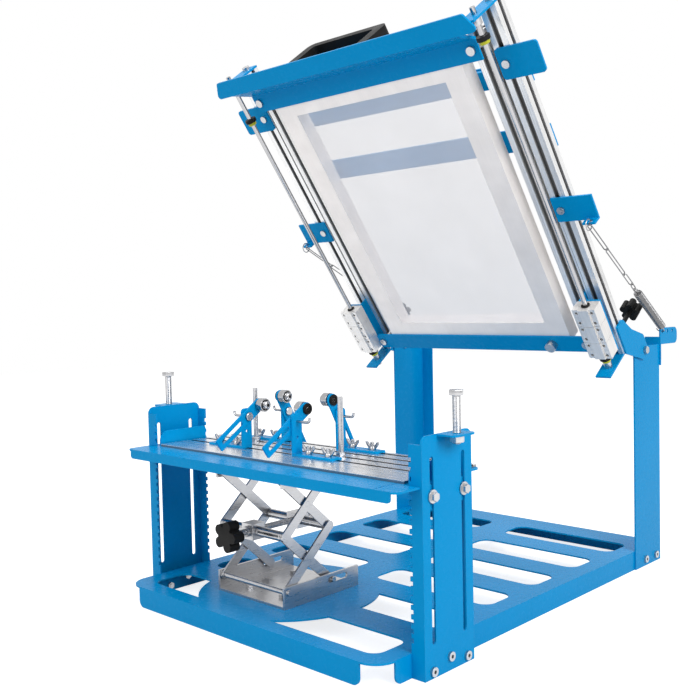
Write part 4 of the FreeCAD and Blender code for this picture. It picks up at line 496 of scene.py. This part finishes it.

# %% [markdown]
# ## Rings in blue brackets, grooves in bright metal
# Some CAD parts need two finishes in one mesh. Their faces could be sorted into two materials,
# but the CAD meshes stay as they are, so a mask by place mixes the two. The chain brackets are
# blue, and the ring that hangs in each is bare steel. The slotted plate and the rails are bright
# extrusions, and their grooves get painted shade. In the plate that is all that lies below its
# face. In a rail the painted shade gets darker from the faces towards the middle line.

# %% Steel rings in the chain brackets
RING = Vector((0.228, 0.02688, 0.43651))
RING_REACH, RING_HALF = 7.5 * MM, 0.9 * MM
tree, shader, look = finish("bracket_paint", coat, PAINT, bump=0.02, gloss=0.05)
mirror = add(tree, "ShaderNodeVectorMath", {0: object_space(tree)}, operation="ABSOLUTE").outputs[0]
away = add(tree, "ShaderNodeVectorMath", {0: mirror, 1: RING}, operation="SUBTRACT").outputs[0]
far = add(tree, "ShaderNodeVectorMath", {0: away}, operation="LENGTH").outputs["Value"]
side = math_node(tree, "ABSOLUTE", add(tree, "ShaderNodeSeparateXYZ", {0: away}).outputs[0])
ring_mask = math_node(tree, "MULTIPLY", math_node(tree, "LESS_THAN", far, RING_REACH),
                      math_node(tree, "LESS_THAN", side, RING_HALF))
tree.links.new(mixed(tree, ring_mask, look.outputs["Colour"], (0.40, 0.40, 0.41, 1)),
               shader.inputs["Base Color"])
tree.links.new(ring_mask, shader.inputs["Metallic"])
print("ring at", [round(value, 4) for value in RING])

# %% Dark grooves in the slotted plate
GROOVE_TOP, GROOVE_SHADE = 0.1855, 0.75
tree, shader, look = metal("plate_grooves", (0.80, 0.80, 0.81), (6, 1400, 1400), rough=0.26,
                           streaks=0.25, bump=0.03)
height = add(tree, "ShaderNodeSeparateXYZ", {0: object_space(tree)}).outputs[2]
# Painted shade: all that lies below the plate's face is darkened
shade = math_node(tree, "MULTIPLY", math_node(tree, "LESS_THAN", height, GROOVE_TOP), GROOVE_SHADE)
tree.links.new(mixed(tree, shade, look.outputs["Colour"], (0.10, 0.10, 0.11, 1)),
               shader.inputs["Base Color"])
print("plate is dark below", GROOVE_TOP, "m")

# %% Dark slots in the rails
# The hinge is in millimetres, as the pieces are. The shader's own numbers are in metres
HINGE = Vector((0, 214.25, 285))
RAIL_MIDDLES, RAIL_DROP = (0.1924, 0.169), 0.0355
RAIL_SKIN, DARKENING, SLOT_SHADE = 0.0092, 300.0, 0.85
tree, shader, look = rail_parts
across, along, high = add(tree, "ShaderNodeSeparateXYZ", {0: object_space(tree)}).outputs
side = math_node(tree, "ABSOLUTE", across)
outer, inner = (math_node(tree, "ABSOLUTE", math_node(tree, "SUBTRACT", side, middle))
                for middle in RAIL_MIDDLES)
back = math_node(tree, "SUBTRACT", along, HINGE.y * MM)
above = math_node(tree, "SUBTRACT", high, HINGE.z * MM)
rise = math_node(tree, "ADD", math_node(tree, "MULTIPLY", back, math.sin(TILT)),
                 math_node(tree, "MULTIPLY", above, math.cos(TILT)))
level = math_node(tree, "ABSOLUTE", math_node(tree, "ADD", rise, RAIL_DROP))
from_middle = math_node(tree, "MAXIMUM", math_node(tree, "MINIMUM", outer, inner), level)
# Painted shade in the slots: the colour darkens towards each rail's middle line
depth = math_node(tree, "MULTIPLY", math_node(tree, "SUBTRACT", RAIL_SKIN, from_middle), DARKENING,
                  clamp=True)
tree.links.new(mixed(tree, math_node(tree, "MULTIPLY", depth, SLOT_SHADE), look.outputs["Colour"],
                     (0.07, 0.07, 0.075, 1)), shader.inputs["Base Color"])
print("rails are dark from", RAIL_SKIN, "m off their middle line inwards")

# %% [markdown]
# ## Finishes on the CAD parts
# Each CAD part comes with a named slot, and the finish of that name goes into it. Round parts
# would show their facets, so all faces are shaded smooth and only corners over thirty degrees
# stay sharp.

# %% Give every CAD part its finish
SHARP = math.radians(30)
for name, item in nodes.items():
    for index, slot in enumerate(item.data.materials):
        item.data.materials[index] = FINISHES[slot.name.split(".")[0]]
    item.data.polygons.foreach_set("use_smooth", [True] * len(item.data.polygons))
    item.data.set_sharp_from_angle(angle=SHARP)
for name, look in (("chain_brackets", "bracket_paint"), ("slot_plate", "plate_grooves"),
                   ("jack_screw", "level_thread")):
    nodes[name].data.materials[0] = FINISHES[look]
print("finished CAD parts:", len(nodes))

# %% [markdown]
# ## The screen
# Polyester mesh is glued under the aluminium frame while it is pulled tight, so it is flat to
# within a fraction of a millimetre. A cloth simulation would only find that again. It is one thin
# grid of faces. Like all pieces it is drawn in millimetres, and a matrix that holds the arm's
# slope puts it in its place.

# %% From a drawing to an object
ROD_DROP = 70
ARM = (Matrix.Translation(HINGE) @ Matrix.Rotation(-TILT, 4, "X")
       @ Matrix.Translation((0, 0, -ROD_DROP)))


def piece(name, bm, body, slot, stands_for=(), look=None, crease=35):
    """Makes the object, gives it its finish, and lets it ride on a CAD body."""
    bmesh.ops.scale(bm, vec=(MM, MM, MM), verts=bm.verts)
    bmesh.ops.remove_doubles(bm, verts=bm.verts, dist=1e-7)
    bmesh.ops.recalc_face_normals(bm, faces=bm.faces)
    made = bpy.data.meshes.new(name)
    bm.to_mesh(made)
    bm.free()
    made.materials.append(FINISHES[look or slot])
    made.polygons.foreach_set("use_smooth", [True] * len(made.polygons))
    made.set_sharp_from_angle(angle=math.radians(crease))
    item = bpy.data.objects.new(name, made)
    bpy.context.collection.objects.link(item)
    if body:
        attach(item, body)
    if stands_for:
        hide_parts(*stands_for)
    return item


print("arm frame at", [round(value, 1) for value in ARM.translation])

# %% Stretch the mesh
SHEET_HALF, SHEET_NEAR, SHEET_FAR, SHEET_RISE = 119.0, 92.0, 432.0, 10.3
COLUMNS, ROWS = 48, 68
bm = bmesh.new()
uv = bm.loops.layers.uv.new("cloth")
grid = [[bm.verts.new(ARM @ Vector((
    -SHEET_HALF + 2 * SHEET_HALF * column / COLUMNS,
    -SHEET_NEAR - (SHEET_FAR - SHEET_NEAR) * row / ROWS, SHEET_RISE)))
    for column in range(COLUMNS + 1)] for row in range(ROWS + 1)]
for row in range(ROWS):
    for column in range(COLUMNS):
        spots = ((row, column), (row, column + 1), (row + 1, column + 1), (row + 1, column))
        face = bm.faces.new([grid[down][over] for down, over in spots])
        for loop, (down, over) in zip(face.loops, spots):
            loop[uv].uv = (over / COLUMNS * 2 * SHEET_HALF * MM,
                           down / ROWS * (SHEET_FAR - SHEET_NEAR) * MM)
screen = piece("screen_fabric_sheet", bm, "carriage", "screen_fabric", ["screen_mesh"])
print("screen faces:", len(screen.data.polygons))

# %% [markdown]
# ## Springs
# Each long spring hooks into a hole behind the press and into a chain that runs to the arm. The
# wire is one path: a hook, a short lead, forty-six close turns, another lead and an eye. A curve
# with a round bevel could be swept along it, but curves can twist where they bend sharply. So a
# small ring is swept by hand, and each ring is turned on from the last. When the arm moves, the
# chain end travels and the hook end only turns.

# %% Sweep a wire
def wire(bm, points, radius, place, sides=10):
    """Adds a round wire along points. Each ring is turned on from the last, so it never twists."""
    points = [place @ Vector(point) for point in points]
    courses = [(after - before).normalized()
               for before, after in zip(points[:1] + points[:-1], points[1:] + points[-1:])]
    across = courses[0].orthogonal().normalized()
    rings = []
    for index, (point, course) in enumerate(zip(points, courses)):
        if index:
            across.rotate(courses[index - 1].rotation_difference(course))
        across = (across - course * across.dot(course)).normalized()
        up = course.cross(across)
        rings.append([bm.verts.new(point + across * radius * math.cos(math.tau * side / sides)
                                   + up * radius * math.sin(math.tau * side / sides))
                      for side in range(sides)])
    for ring, following in zip(rings, rings[1:]):
        for side in range(sides):
            after = (side + 1) % sides
            bm.faces.new((ring[side], ring[after], following[after], following[side]))
    bm.faces.new(rings[0])
    bm.faces.new(list(reversed(rings[-1])))


def eased(start, start_course, end, end_course, pull, steps=14):
    """Points on a smooth curve between two points with given directions, without its last point."""
    near, far = start + start_course * pull, end - end_course * pull
    points = []
    for step in range(steps):
        t = step / steps
        points.append(start * (1 - t) ** 3 + near * 3 * t * (1 - t) ** 2
                      + far * 3 * t * t * (1 - t) + end * t ** 3)
    return points


print("wire tools ready")

# %% Where a spring lies
ANCHOR = Vector((207.6, 269.25, 307))
heading = (RING / MM - ANCHOR).normalized()
sideways = (Vector((1, 0, 0)) - heading * heading.x).normalized()
spring_place = Matrix.Translation(ANCHOR) @ Matrix(
    (sideways, heading.cross(sideways), heading)).transposed().to_4x4()
print("spring heads", [round(value, 3) for value in heading])

# %% Path of one spring, along its own Z
EYE, COIL, LOOP, TAIL = 4.6, 4.8, 2.6, 3.0
COIL_LOW, LEAD, COIL_PITCH, TURNS = 10.0, 6.0, 2.05, 46
HOOK_STEPS, TURN_STEPS, EYE_STEPS = 16, 22, 12
LOW_PULL, HIGH_PULL = 2.6, 3.4
up = Vector((0, 0, 1))
climb = Vector((0, 1, COIL_PITCH / (math.tau * COIL))).normalized()
coil_low = COIL_LOW + LEAD
coil_high = coil_low + COIL_PITCH * TURNS
eye_high = coil_high + LEAD + TAIL
path = [Vector((-2 * EYE, 0, EYE + TAIL))]
path += [Vector((-EYE - EYE * math.cos(math.pi * step / HOOK_STEPS), 0,
                 EYE - EYE * math.sin(math.pi * step / HOOK_STEPS)))
         for step in range(HOOK_STEPS + 1)]
path += eased(Vector((0, 0, COIL_LOW)), up, Vector((COIL, 0, coil_low)), climb, LOW_PULL)
path += [Vector((COIL * math.cos(math.tau * step / TURN_STEPS),
                 COIL * math.sin(math.tau * step / TURN_STEPS),
                 coil_low + COIL_PITCH * step / TURN_STEPS))
         for step in range(TURNS * TURN_STEPS)]
path += eased(Vector((COIL, 0, coil_high)), climb, Vector((-LOOP, 0, coil_high + LEAD)), up,
              HIGH_PULL)
path += [Vector((-LOOP * math.cos(math.pi * step / EYE_STEPS), 0,
                 eye_high + LOOP * math.sin(math.pi * step / EYE_STEPS)))
         for step in range(EYE_STEPS + 1)]
path.append(Vector((LOOP, 0, coil_high + LEAD)))
print("spring path:", len(path), "points")

# %% Sweep both springs
WIRE_RADIUS = 0.7
for side, mirror_x in (("left", -1), ("right", 1)):
    bm = bmesh.new()
    wire(bm, path, WIRE_RADIUS, spring_place)
    bmesh.ops.scale(bm, vec=(mirror_x, 1, 1), verts=bm.verts)
    spring = piece("spring_coil_" + side, bm, None, "spring_steel", crease=80)
    ends = [(spring_place @ Vector((0, 0, spot))) * MM for spot in (coil_low, coil_high)]
    for end in ends:
        end.x *= mirror_x
    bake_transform(spring)
    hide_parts("spring_" + side)
    print(spring.name, "points:", len(spring.data.vertices))

# %% [markdown]
# ## Tools for small parts
# Nearly all small parts are either cut from sheet or turned. A flat part is a filled curve with a
# bevel: that gives the plate, its holes and its soft rims in one go, where booleans on blocks
# would leave ragged faces. A turned part is a profile of radius and height pairs that is spun
# about Z.

# %% Cut and turn
def cut_plate(bm, outlines, thick, place, soften=0.3):
    """Adds a plate in XY about z 0 to bm. The first outline is its rim and the rest are holes."""
    drawing = bpy.data.curves.new("outline", "CURVE")
    drawing.dimensions = "2D"
    drawing.fill_mode = "BOTH"
    drawing.extrude = thick / 2 - soften
    drawing.bevel_depth = soften
    drawing.bevel_resolution = 2
    drawing.offset = -soften
    for corners in outlines:
        line = drawing.splines.new("POLY")
        line.points.add(len(corners) - 1)
        for point, corner in zip(line.points, corners):
            point.co = (corner[0], corner[1], 0, 1)
        line.use_cyclic_u = True
    holder = bpy.data.objects.new("outline", drawing)
    bpy.context.collection.objects.link(holder)
    seen = holder.evaluated_get(bpy.context.evaluated_depsgraph_get())
    flat_mesh = bpy.data.meshes.new_from_object(seen)
    flat_mesh.transform(place)
    bm.from_mesh(flat_mesh)
    bpy.data.objects.remove(holder)
    bpy.data.curves.remove(drawing)
    bpy.data.meshes.remove(flat_mesh)


def turned_part(bm, profile, place, steps=40):
    """Adds a part turned about Z. The profile lists (radius, height); radius 0 closes an end."""
    rings = []
    for radius, height in profile:
        if radius == 0:
            rings.append([bm.verts.new(place @ Vector((0, 0, height)))])
        else:
            rings.append([bm.verts.new(place @ Vector((radius * math.cos(math.tau * step / steps),
                                                       radius * math.sin(math.tau * step / steps),
                                                       height))) for step in range(steps)])
    for low, high in zip(rings, rings[1:]):
        for step in range(steps):
            after = (step + 1) % steps
            corners = []
            for ring, spot in ((low, step), (low, after), (high, after), (high, step)):
                vertex = ring[spot % len(ring)]
                if vertex not in corners:
                    corners.append(vertex)
            if len(corners) > 2:
                bm.faces.new(corners)


print("tools ready")

# %% Outlines
CORNER_STEPS = 6


def circle(radius, x=0, y=0, steps=32):
    """Corners of a circle or, with six steps, of a hexagon."""
    return [(x + radius * math.cos(math.tau * step / steps),
             y + radius * math.sin(math.tau * step / steps)) for step in range(steps)]


def rounded_box(low_x, low_y, high_x, high_y, radius):
    """Corners of a rectangle with round corners, the two high ones first."""
    corners = []
    for x, y, start in ((high_x - radius, high_y - radius, 0), (low_x + radius, high_y - radius, 1),
                        (low_x + radius, low_y + radius, 2), (high_x - radius, low_y + radius, 3)):
        for step in range(CORNER_STEPS + 1):
            angle = math.pi / 2 * (start + step / CORNER_STEPS)
            corners.append((x + radius * math.cos(angle), y + radius * math.sin(angle)))
    return corners


print("corners of a rounded box:", len(rounded_box(-1, -1, 1, 1, 0.5)))

# %% [markdown]
# ## Roller stands
# A bottle lies on four small rollers. Each roller turns on a blue arm that tilts on an upright
# and is clamped by a bent screw, and two wing nuts hold the foot on the slotted plate. The four
# stands could be instances of one, but each tilts and slides on its own, so each is built where
# it stands. The left ones are mirrored copies of the right.

# %% Where the stands are
PLATE_TOP = 186.0
PIVOT, ROLLER_RISE = 37.5, 22.0
STANDS = ((-1, -82, -220.75, -56), (-1, -82, -156.75, 28), (1, 1, -220.75, -56),
          (1, 8, -156.75, 28))
# Turns a part that is drawn along Z so that it lies along X
TO_SIDE = Matrix(((0, 0, 1, 0), (1, 0, 0, 0), (0, 1, 0, 0), (0, 0, 0, 1)))
metal("hardware_steel", (0.45, 0.45, 0.46), (500, 500, 500), rough=0.22, streaks=0.25, bump=0.04)
moulded("roller_seal", (0.015, 0.015, 0.015), rough=0.4, bump=0.08, gloss=0.2)


def stand_place(side, x, y, height=0.0, turn=0.0):
    """From a stand's own frame, with X outwards, to the press. The left ones are mirrored."""
    return (Matrix.Translation((x, y, PLATE_TOP + height)) @ Matrix.Diagonal((side, 1, 1, 1))
            @ Matrix.Rotation(math.radians(turn), 4, "X"))


print("stands:", len(STANDS))

# %% Wing nut and bent clamp screw
NUT = [(0, -1.5), (2.4, -1.5), (2.4, 2.5), (3.8, 2.5), (3.8, 4.6), (3.2, 6.6), (2.4, 7.0),
       (2.4, 11.2), (1.9, 11.8), (0, 11.8)]
WINGS = [(-3.4, 2.7), (3.4, 2.7), (6.2, 5.2), (8.4, 8.0), (9.8, 10.4), (9.6, 12.0), (8.0, 12.4),
         (6.4, 11.4), (4.4, 8.8), (2.6, 7.2), (0, 6.8), (-2.6, 7.2), (-4.4, 8.8), (-6.4, 11.4),
         (-8.0, 12.4), (-9.6, 12.0), (-9.8, 10.4), (-8.4, 8.0), (-6.2, 5.2)]
WING_THICK, WING_SOFT = 2.2, 0.5
SCREW_START, BEND_START, BEND, GRIP, BEND_STEPS = 2.4, 18.4, 4, 5.1, 8


def wing_nut(bm, place, at):
    """A screw with a domed nut and two wings that rise to the sides."""
    spot = place @ Matrix.Translation((at, 0, 0))
    turned_part(bm, NUT, spot, 24)
    cut_plate(bm, [WINGS], WING_THICK, spot @ Matrix.Rotation(math.pi / 2, 4, "X"), WING_SOFT)


clamp = [Vector((SCREW_START, 0, PIVOT)), Vector((BEND_START, 0, PIVOT))]
clamp += [Vector((BEND_START + BEND * math.sin(angle), 0, PIVOT + BEND - BEND * math.cos(angle)))
          for angle in (math.pi / 2 / BEND_STEPS * step for step in range(1, BEND_STEPS + 1))]
clamp.append(Vector((BEND_START + BEND, 0, PIVOT + GRIP)))
print("clamp screw:", len(clamp), "points")

# %% Foot and upright
SHEET, HALF_SHEET = 2.5, 1.25
FOOT, FOOT_HOLES, FOOT_HOLE = rounded_box(0.01, -8, 63, 8, 1.2), (20, 50), 2.6
TOP_CORNERS = 2 * (CORNER_STEPS + 1)
UPRIGHT = (rounded_box(-7.5, 0, 7.5, 47, 0.4)[TOP_CORNERS:]
           + rounded_box(-7.5, 0, 7.5, 47, 4.5)[:TOP_CORNERS])
SPARE_HOLE, SPARE_HOLE_HIGH, CLAMP_RADIUS = 1.7, 20, 1.6
PIN = [(0, -6.0), (2.5, -6.0), (2.5, 2.4), (0, 2.4)]
PIVOT_CAP = [(0, -6.2), (4.2, -6.2), (5.0, -5.6), (5.0, -3.8), (4.6, -3.2), (0, -3.2)]


def build_stand(name, place):
    """The part of a stand that slides on the plate."""
    bm = bmesh.new()
    cut_plate(bm, [FOOT] + [circle(FOOT_HOLE, at) for at in FOOT_HOLES], SHEET,
              place @ Matrix.Translation((0, 0, HALF_SHEET)))
    cut_plate(bm, [UPRIGHT, circle(SPARE_HOLE, 0, SPARE_HOLE_HIGH)], SHEET,
              place @ Matrix.Translation((HALF_SHEET, 0, 0)) @ TO_SIDE)
    piece(name + "_sheet", bm, name, "blue_sheet", [name])
    pivot = place @ Matrix.Translation((0, 0, PIVOT)) @ TO_SIDE
    bm = bmesh.new()
    for at in FOOT_HOLES:
        wing_nut(bm, place, at)
    turned_part(bm, PIN, pivot, 24)
    wire(bm, clamp, CLAMP_RADIUS, place, sides=14)
    piece(name + "_hardware", bm, name, "zinc_steel", look="hardware_steel")
    bm = bmesh.new()
    turned_part(bm, PIVOT_CAP, pivot)
    piece(name + "_cap", bm, name, "zinc_steel", look="hardware_steel")


print("upright corners:", len(UPRIGHT))

# %% Tilting arm
BLADE_HALF, BLADE_FOOT, CHAMFER, BLADE_SIDE = 7.5, -54, 1, -1.65
SLOT_HALF, SLOT_TOP, SLOT_FOOT = 2.75, -13.75, -45.25
BLADE = [(BLADE_HALF * math.cos(math.pi * step / 18),
          ROLLER_RISE + BLADE_HALF * math.sin(math.pi * step / 18)) for step in range(19)]
BLADE += [(-BLADE_HALF, BLADE_FOOT + CHAMFER), (-BLADE_HALF + CHAMFER, BLADE_FOOT),
          (BLADE_HALF - CHAMFER, BLADE_FOOT), (BLADE_HALF, BLADE_FOOT + CHAMFER)]
SLOT = [(SLOT_HALF * math.cos(math.pi * step / 10),
         SLOT_TOP + SLOT_HALF * math.sin(math.pi * step / 10)) for step in range(11)]
SLOT += [(-x, SLOT_TOP + SLOT_FOOT - y) for x, y in SLOT]
AXLE = [(0, -17.2), (2.4, -17.2), (2.4, 2.0), (0, 2.0)]
AXLE_HEAD = [(0, -17.9), (3.4, -17.9), (4.4, -17.5), (5.0, -16.9), (5.0, -15.2), (4.6, -14.9),
             (0, -14.9)]
# A thin black hexagon on the axle head stands for its socket hole: painted shade
AXLE_SOCKET = [(0, -17.95), (2.3, -17.95), (2.3, -17.8), (0, -17.8)]
SIDE_CAP = [(0, 2.6), (2.2, 2.6), (2.2, 1.6), (3.2, 1.6), (3.4, 2.6), (5.8, 2.6), (6.5, 1.9),
            (6.5, 0.2), (6.1, -0.3), (0, -0.3)]


def build_tilt_arm(name, place, high):
    """The slotted blade, the axle at its top and the black cap on the axle."""
    bm = bmesh.new()
    cut_plate(bm, [BLADE, circle(2.6), SLOT], SHEET,
              place @ Matrix.Translation((BLADE_SIDE, 0, 0)) @ TO_SIDE)
    piece(name + "_sheet", bm, name, "blue_sheet", [name])
    bm = bmesh.new()
    turned_part(bm, AXLE, high, 24)
    turned_part(bm, AXLE_HEAD, high)
    piece(name + "_axle", bm, name, "zinc_steel", look="hardware_steel")
    bm = bmesh.new()
    # Painted shade for the axle's socket hole
    turned_part(bm, AXLE_SOCKET, high, 6)
    turned_part(bm, SIDE_CAP, high)
    piece(name + "_cap", bm, name, "black_plastic")


print("blade corners:", len(BLADE), "slot corners:", len(SLOT))

# %% Roller
BEARING = [(2.6, -14.6), (4.4, -14.6), (5.0, -14.2), (5.0, -13.0), (6.4, -13.0), (6.6, -13.4),
           (7.5, -13.4), (8.0, -12.9), (8.0, -4.9), (7.5, -4.4), (6.6, -4.4), (6.4, -4.8),
           (5.0, -4.8), (5.0, -3.6), (4.4, -3.2), (2.6, -3.2)]
SEAL_SPOTS, SEAL_IN, SEAL_OUT, SEAL_THICK = (-13.25, -4.75), 5.05, 6.35, 0.2


def build_roller(name, high):
    """The ball bearing that carries the bottle, and its two seals."""
    bm = bmesh.new()
    turned_part(bm, BEARING, high, 48)
    piece(name + "_ring", bm, name, "roller_steel", [name])
    bm = bmesh.new()
    for low in SEAL_SPOTS:
        turned_part(bm, [(SEAL_IN, low), (SEAL_OUT, low), (SEAL_OUT, low + SEAL_THICK),
                         (SEAL_IN, low + SEAL_THICK)], high)
    piece(name + "_seal", bm, name, "roller_steel", look="roller_seal")


print("roller profile:", len(BEARING), "points")

# %% Build all four
for number, (side, x, y, turn) in enumerate(STANDS, start=1):
    build_stand("stand_%d" % number, stand_place(side, x, y))
    tilted = stand_place(side, x, y, PIVOT, turn)
    high = tilted @ Matrix.Translation((0, 0, ROLLER_RISE)) @ TO_SIDE
    build_tilt_arm("tilt_arm_%d" % number, tilted, high)
    build_roller("roller_%d" % number, high)
    print("stand", number, "at", (x, y), "tilted by", turn)

# %% [markdown]
# ## Stop bolts
# The two long bolts on the front posts stop the arm. A hexagon head is a plate with six corners
# and soft rims, and the shank is a turned profile in the threaded finish.

# %% Heads and shanks
BOLT_X, BOLT_Y = 227, -226.75
HEAD_RADIUS, HEAD_THICK, HEAD_MIDDLE, HEAD_SOFT = 7.5, 5.3, 268.35, 0.5
SHANK = [(0, 219.7), (3.2, 219.7), (4.0, 220.6), (4.0, 265.8), (0, 265.8)]
for side, x in (("left", -BOLT_X), ("right", BOLT_X)):
    name = "stop_bolt_" + side
    bm = bmesh.new()
    cut_plate(bm, [circle(HEAD_RADIUS, steps=6)], HEAD_THICK,
              Matrix.Translation((x, BOLT_Y, HEAD_MIDDLE)), HEAD_SOFT)
    piece(name + "_head", bm, name, "zinc_steel", [name], look="hardware_steel")
    bm = bmesh.new()
    turned_part(bm, SHANK, Matrix.Translation((x, BOLT_Y, 0)))
    piece(name + "_thread", bm, name, "zinc_steel", look="upright_thread")
    print(name, "built")

# %% [markdown]
# ## Screw sockets
# The frame's screws have a hexagonal hole in their heads. The holes could be cut with booleans,
# but the CAD meshes stay as they are. A thin black hexagon on each head stands in for the shade
# in the hole: it is painted shade.

# %% Sockets of the frame screws
SOCKET_SPOTS = [(218.8, -254.75, 7), (218.8, -227.75, 14), (218.8, -200.75, 7),
                (204.8, 218.25, 9), (204.8, 248.25, 9)]
SOCKET_RADIUS, SOCKET_THICK, SOCKET_SOFT = 2.0, 0.1, 0.03


def facing(place, out):
    """A matrix that puts a part's Z along out, with its origin at place."""
    return Matrix.Translation(place) @ Vector(out).to_track_quat("Z", "Y").to_matrix().to_4x4()


bm = bmesh.new()
for side in (-1, 1):
    for x, y, z in SOCKET_SPOTS:
        cut_plate(bm, [circle(SOCKET_RADIUS, steps=6)], SOCKET_THICK,
                  facing((side * x, y, z), (side, 0, 0)), SOCKET_SOFT)
# Black hexagons of painted shade where the socket holes are
piece("screw_sockets", bm, "base", "zinc_steel", look="roller_seal")
print("sockets:", 2 * len(SOCKET_SPOTS))

# %% [markdown]
# ## Stops and seals on the guide rods
# Rubber stops with a coloured ring sit on the guide rods and catch the carriage, and a black seal
# closes each end of the sliding blocks. All of them are short turned parts round a rod.

# %% Turn them along the rods
ROD_X, HOLE = 192.4, 3.1
STOPS = ((-ROD_X, 437), (ROD_X, 467), (-ROD_X, 39), (ROD_X, 39))
COLOUR_RING = [(HOLE, 0.1), (5.1, 0.1), (5.5, 0.5), (5.5, 4.0), (HOLE, 4.0)]
RUBBER = [(HOLE, 4.0), (7.0, 4.0), (7.5, 4.5), (7.5, 8.4), (7.0, 8.9), (HOLE, 8.9)]
SEAL, SEAL_REACHES = [(HOLE, 0.0), (5.4, 0.0), (5.4, 1.0), (HOLE, 1.0)], (49.9, 126.25)
moulded("signal_ring", (0.55, 0.55, 0.03), rough=0.4, bump=0.08, gloss=0.3)


def on_rod(x, reach):
    """A matrix that puts a part's Z along a guide rod, at a reach from the hinge."""
    return ARM @ Matrix.Translation((x, -reach, 0)) @ Matrix.Rotation(math.pi / 2, 4, "X")


rubber, rings, seals = bmesh.new(), bmesh.new(), bmesh.new()
for x, reach in STOPS:
    turned_part(rings, COLOUR_RING, on_rod(x, reach))
    turned_part(rubber, RUBBER, on_rod(x, reach))
for x in (-ROD_X, ROD_X):
    for reach in SEAL_REACHES:
        turned_part(seals, SEAL, on_rod(x, reach))
piece("bumper_rubbers", rubber, "arm", "stop_rubber", ["bumpers"])
piece("bumper_rings", rings, "arm", "stop_rubber", look="signal_ring")
piece("block_seals", seals, "carriage", "stop_rubber")
print("stops:", len(STOPS))

# %% [markdown]
# ## Tubes of the jack
# The two middle cross rods of the scissor jack run in thick tubes, one on each side of the block
# that the screw turns in. They keep the arms apart. Each tube is a turned profile along X and
# turns with its block, so it rides on the block's body.

# %% Tubes round the middle rods
TUBE = [(3.1, 0.0), (5.0, 0.0), (5.5, 0.5), (5.5, 37.9), (5.0, 38.4), (3.1, 38.4)]
TUBE_STARTS, ROD_HEIGHT = (-83.7, -26.7), 101.96
for name, y in (("jack_trunnion", -254.75), ("jack_nut", -185.84)):
    bm = bmesh.new()
    for start in TUBE_STARTS:
        turned_part(bm, TUBE, Matrix.Translation((start, y, ROD_HEIGHT)) @ TO_SIDE, 32)
    piece(name + "_tubes", bm, name, "zinc_steel", look="hardware_steel")
    print(name, "tubes:", len(TUBE_STARTS))
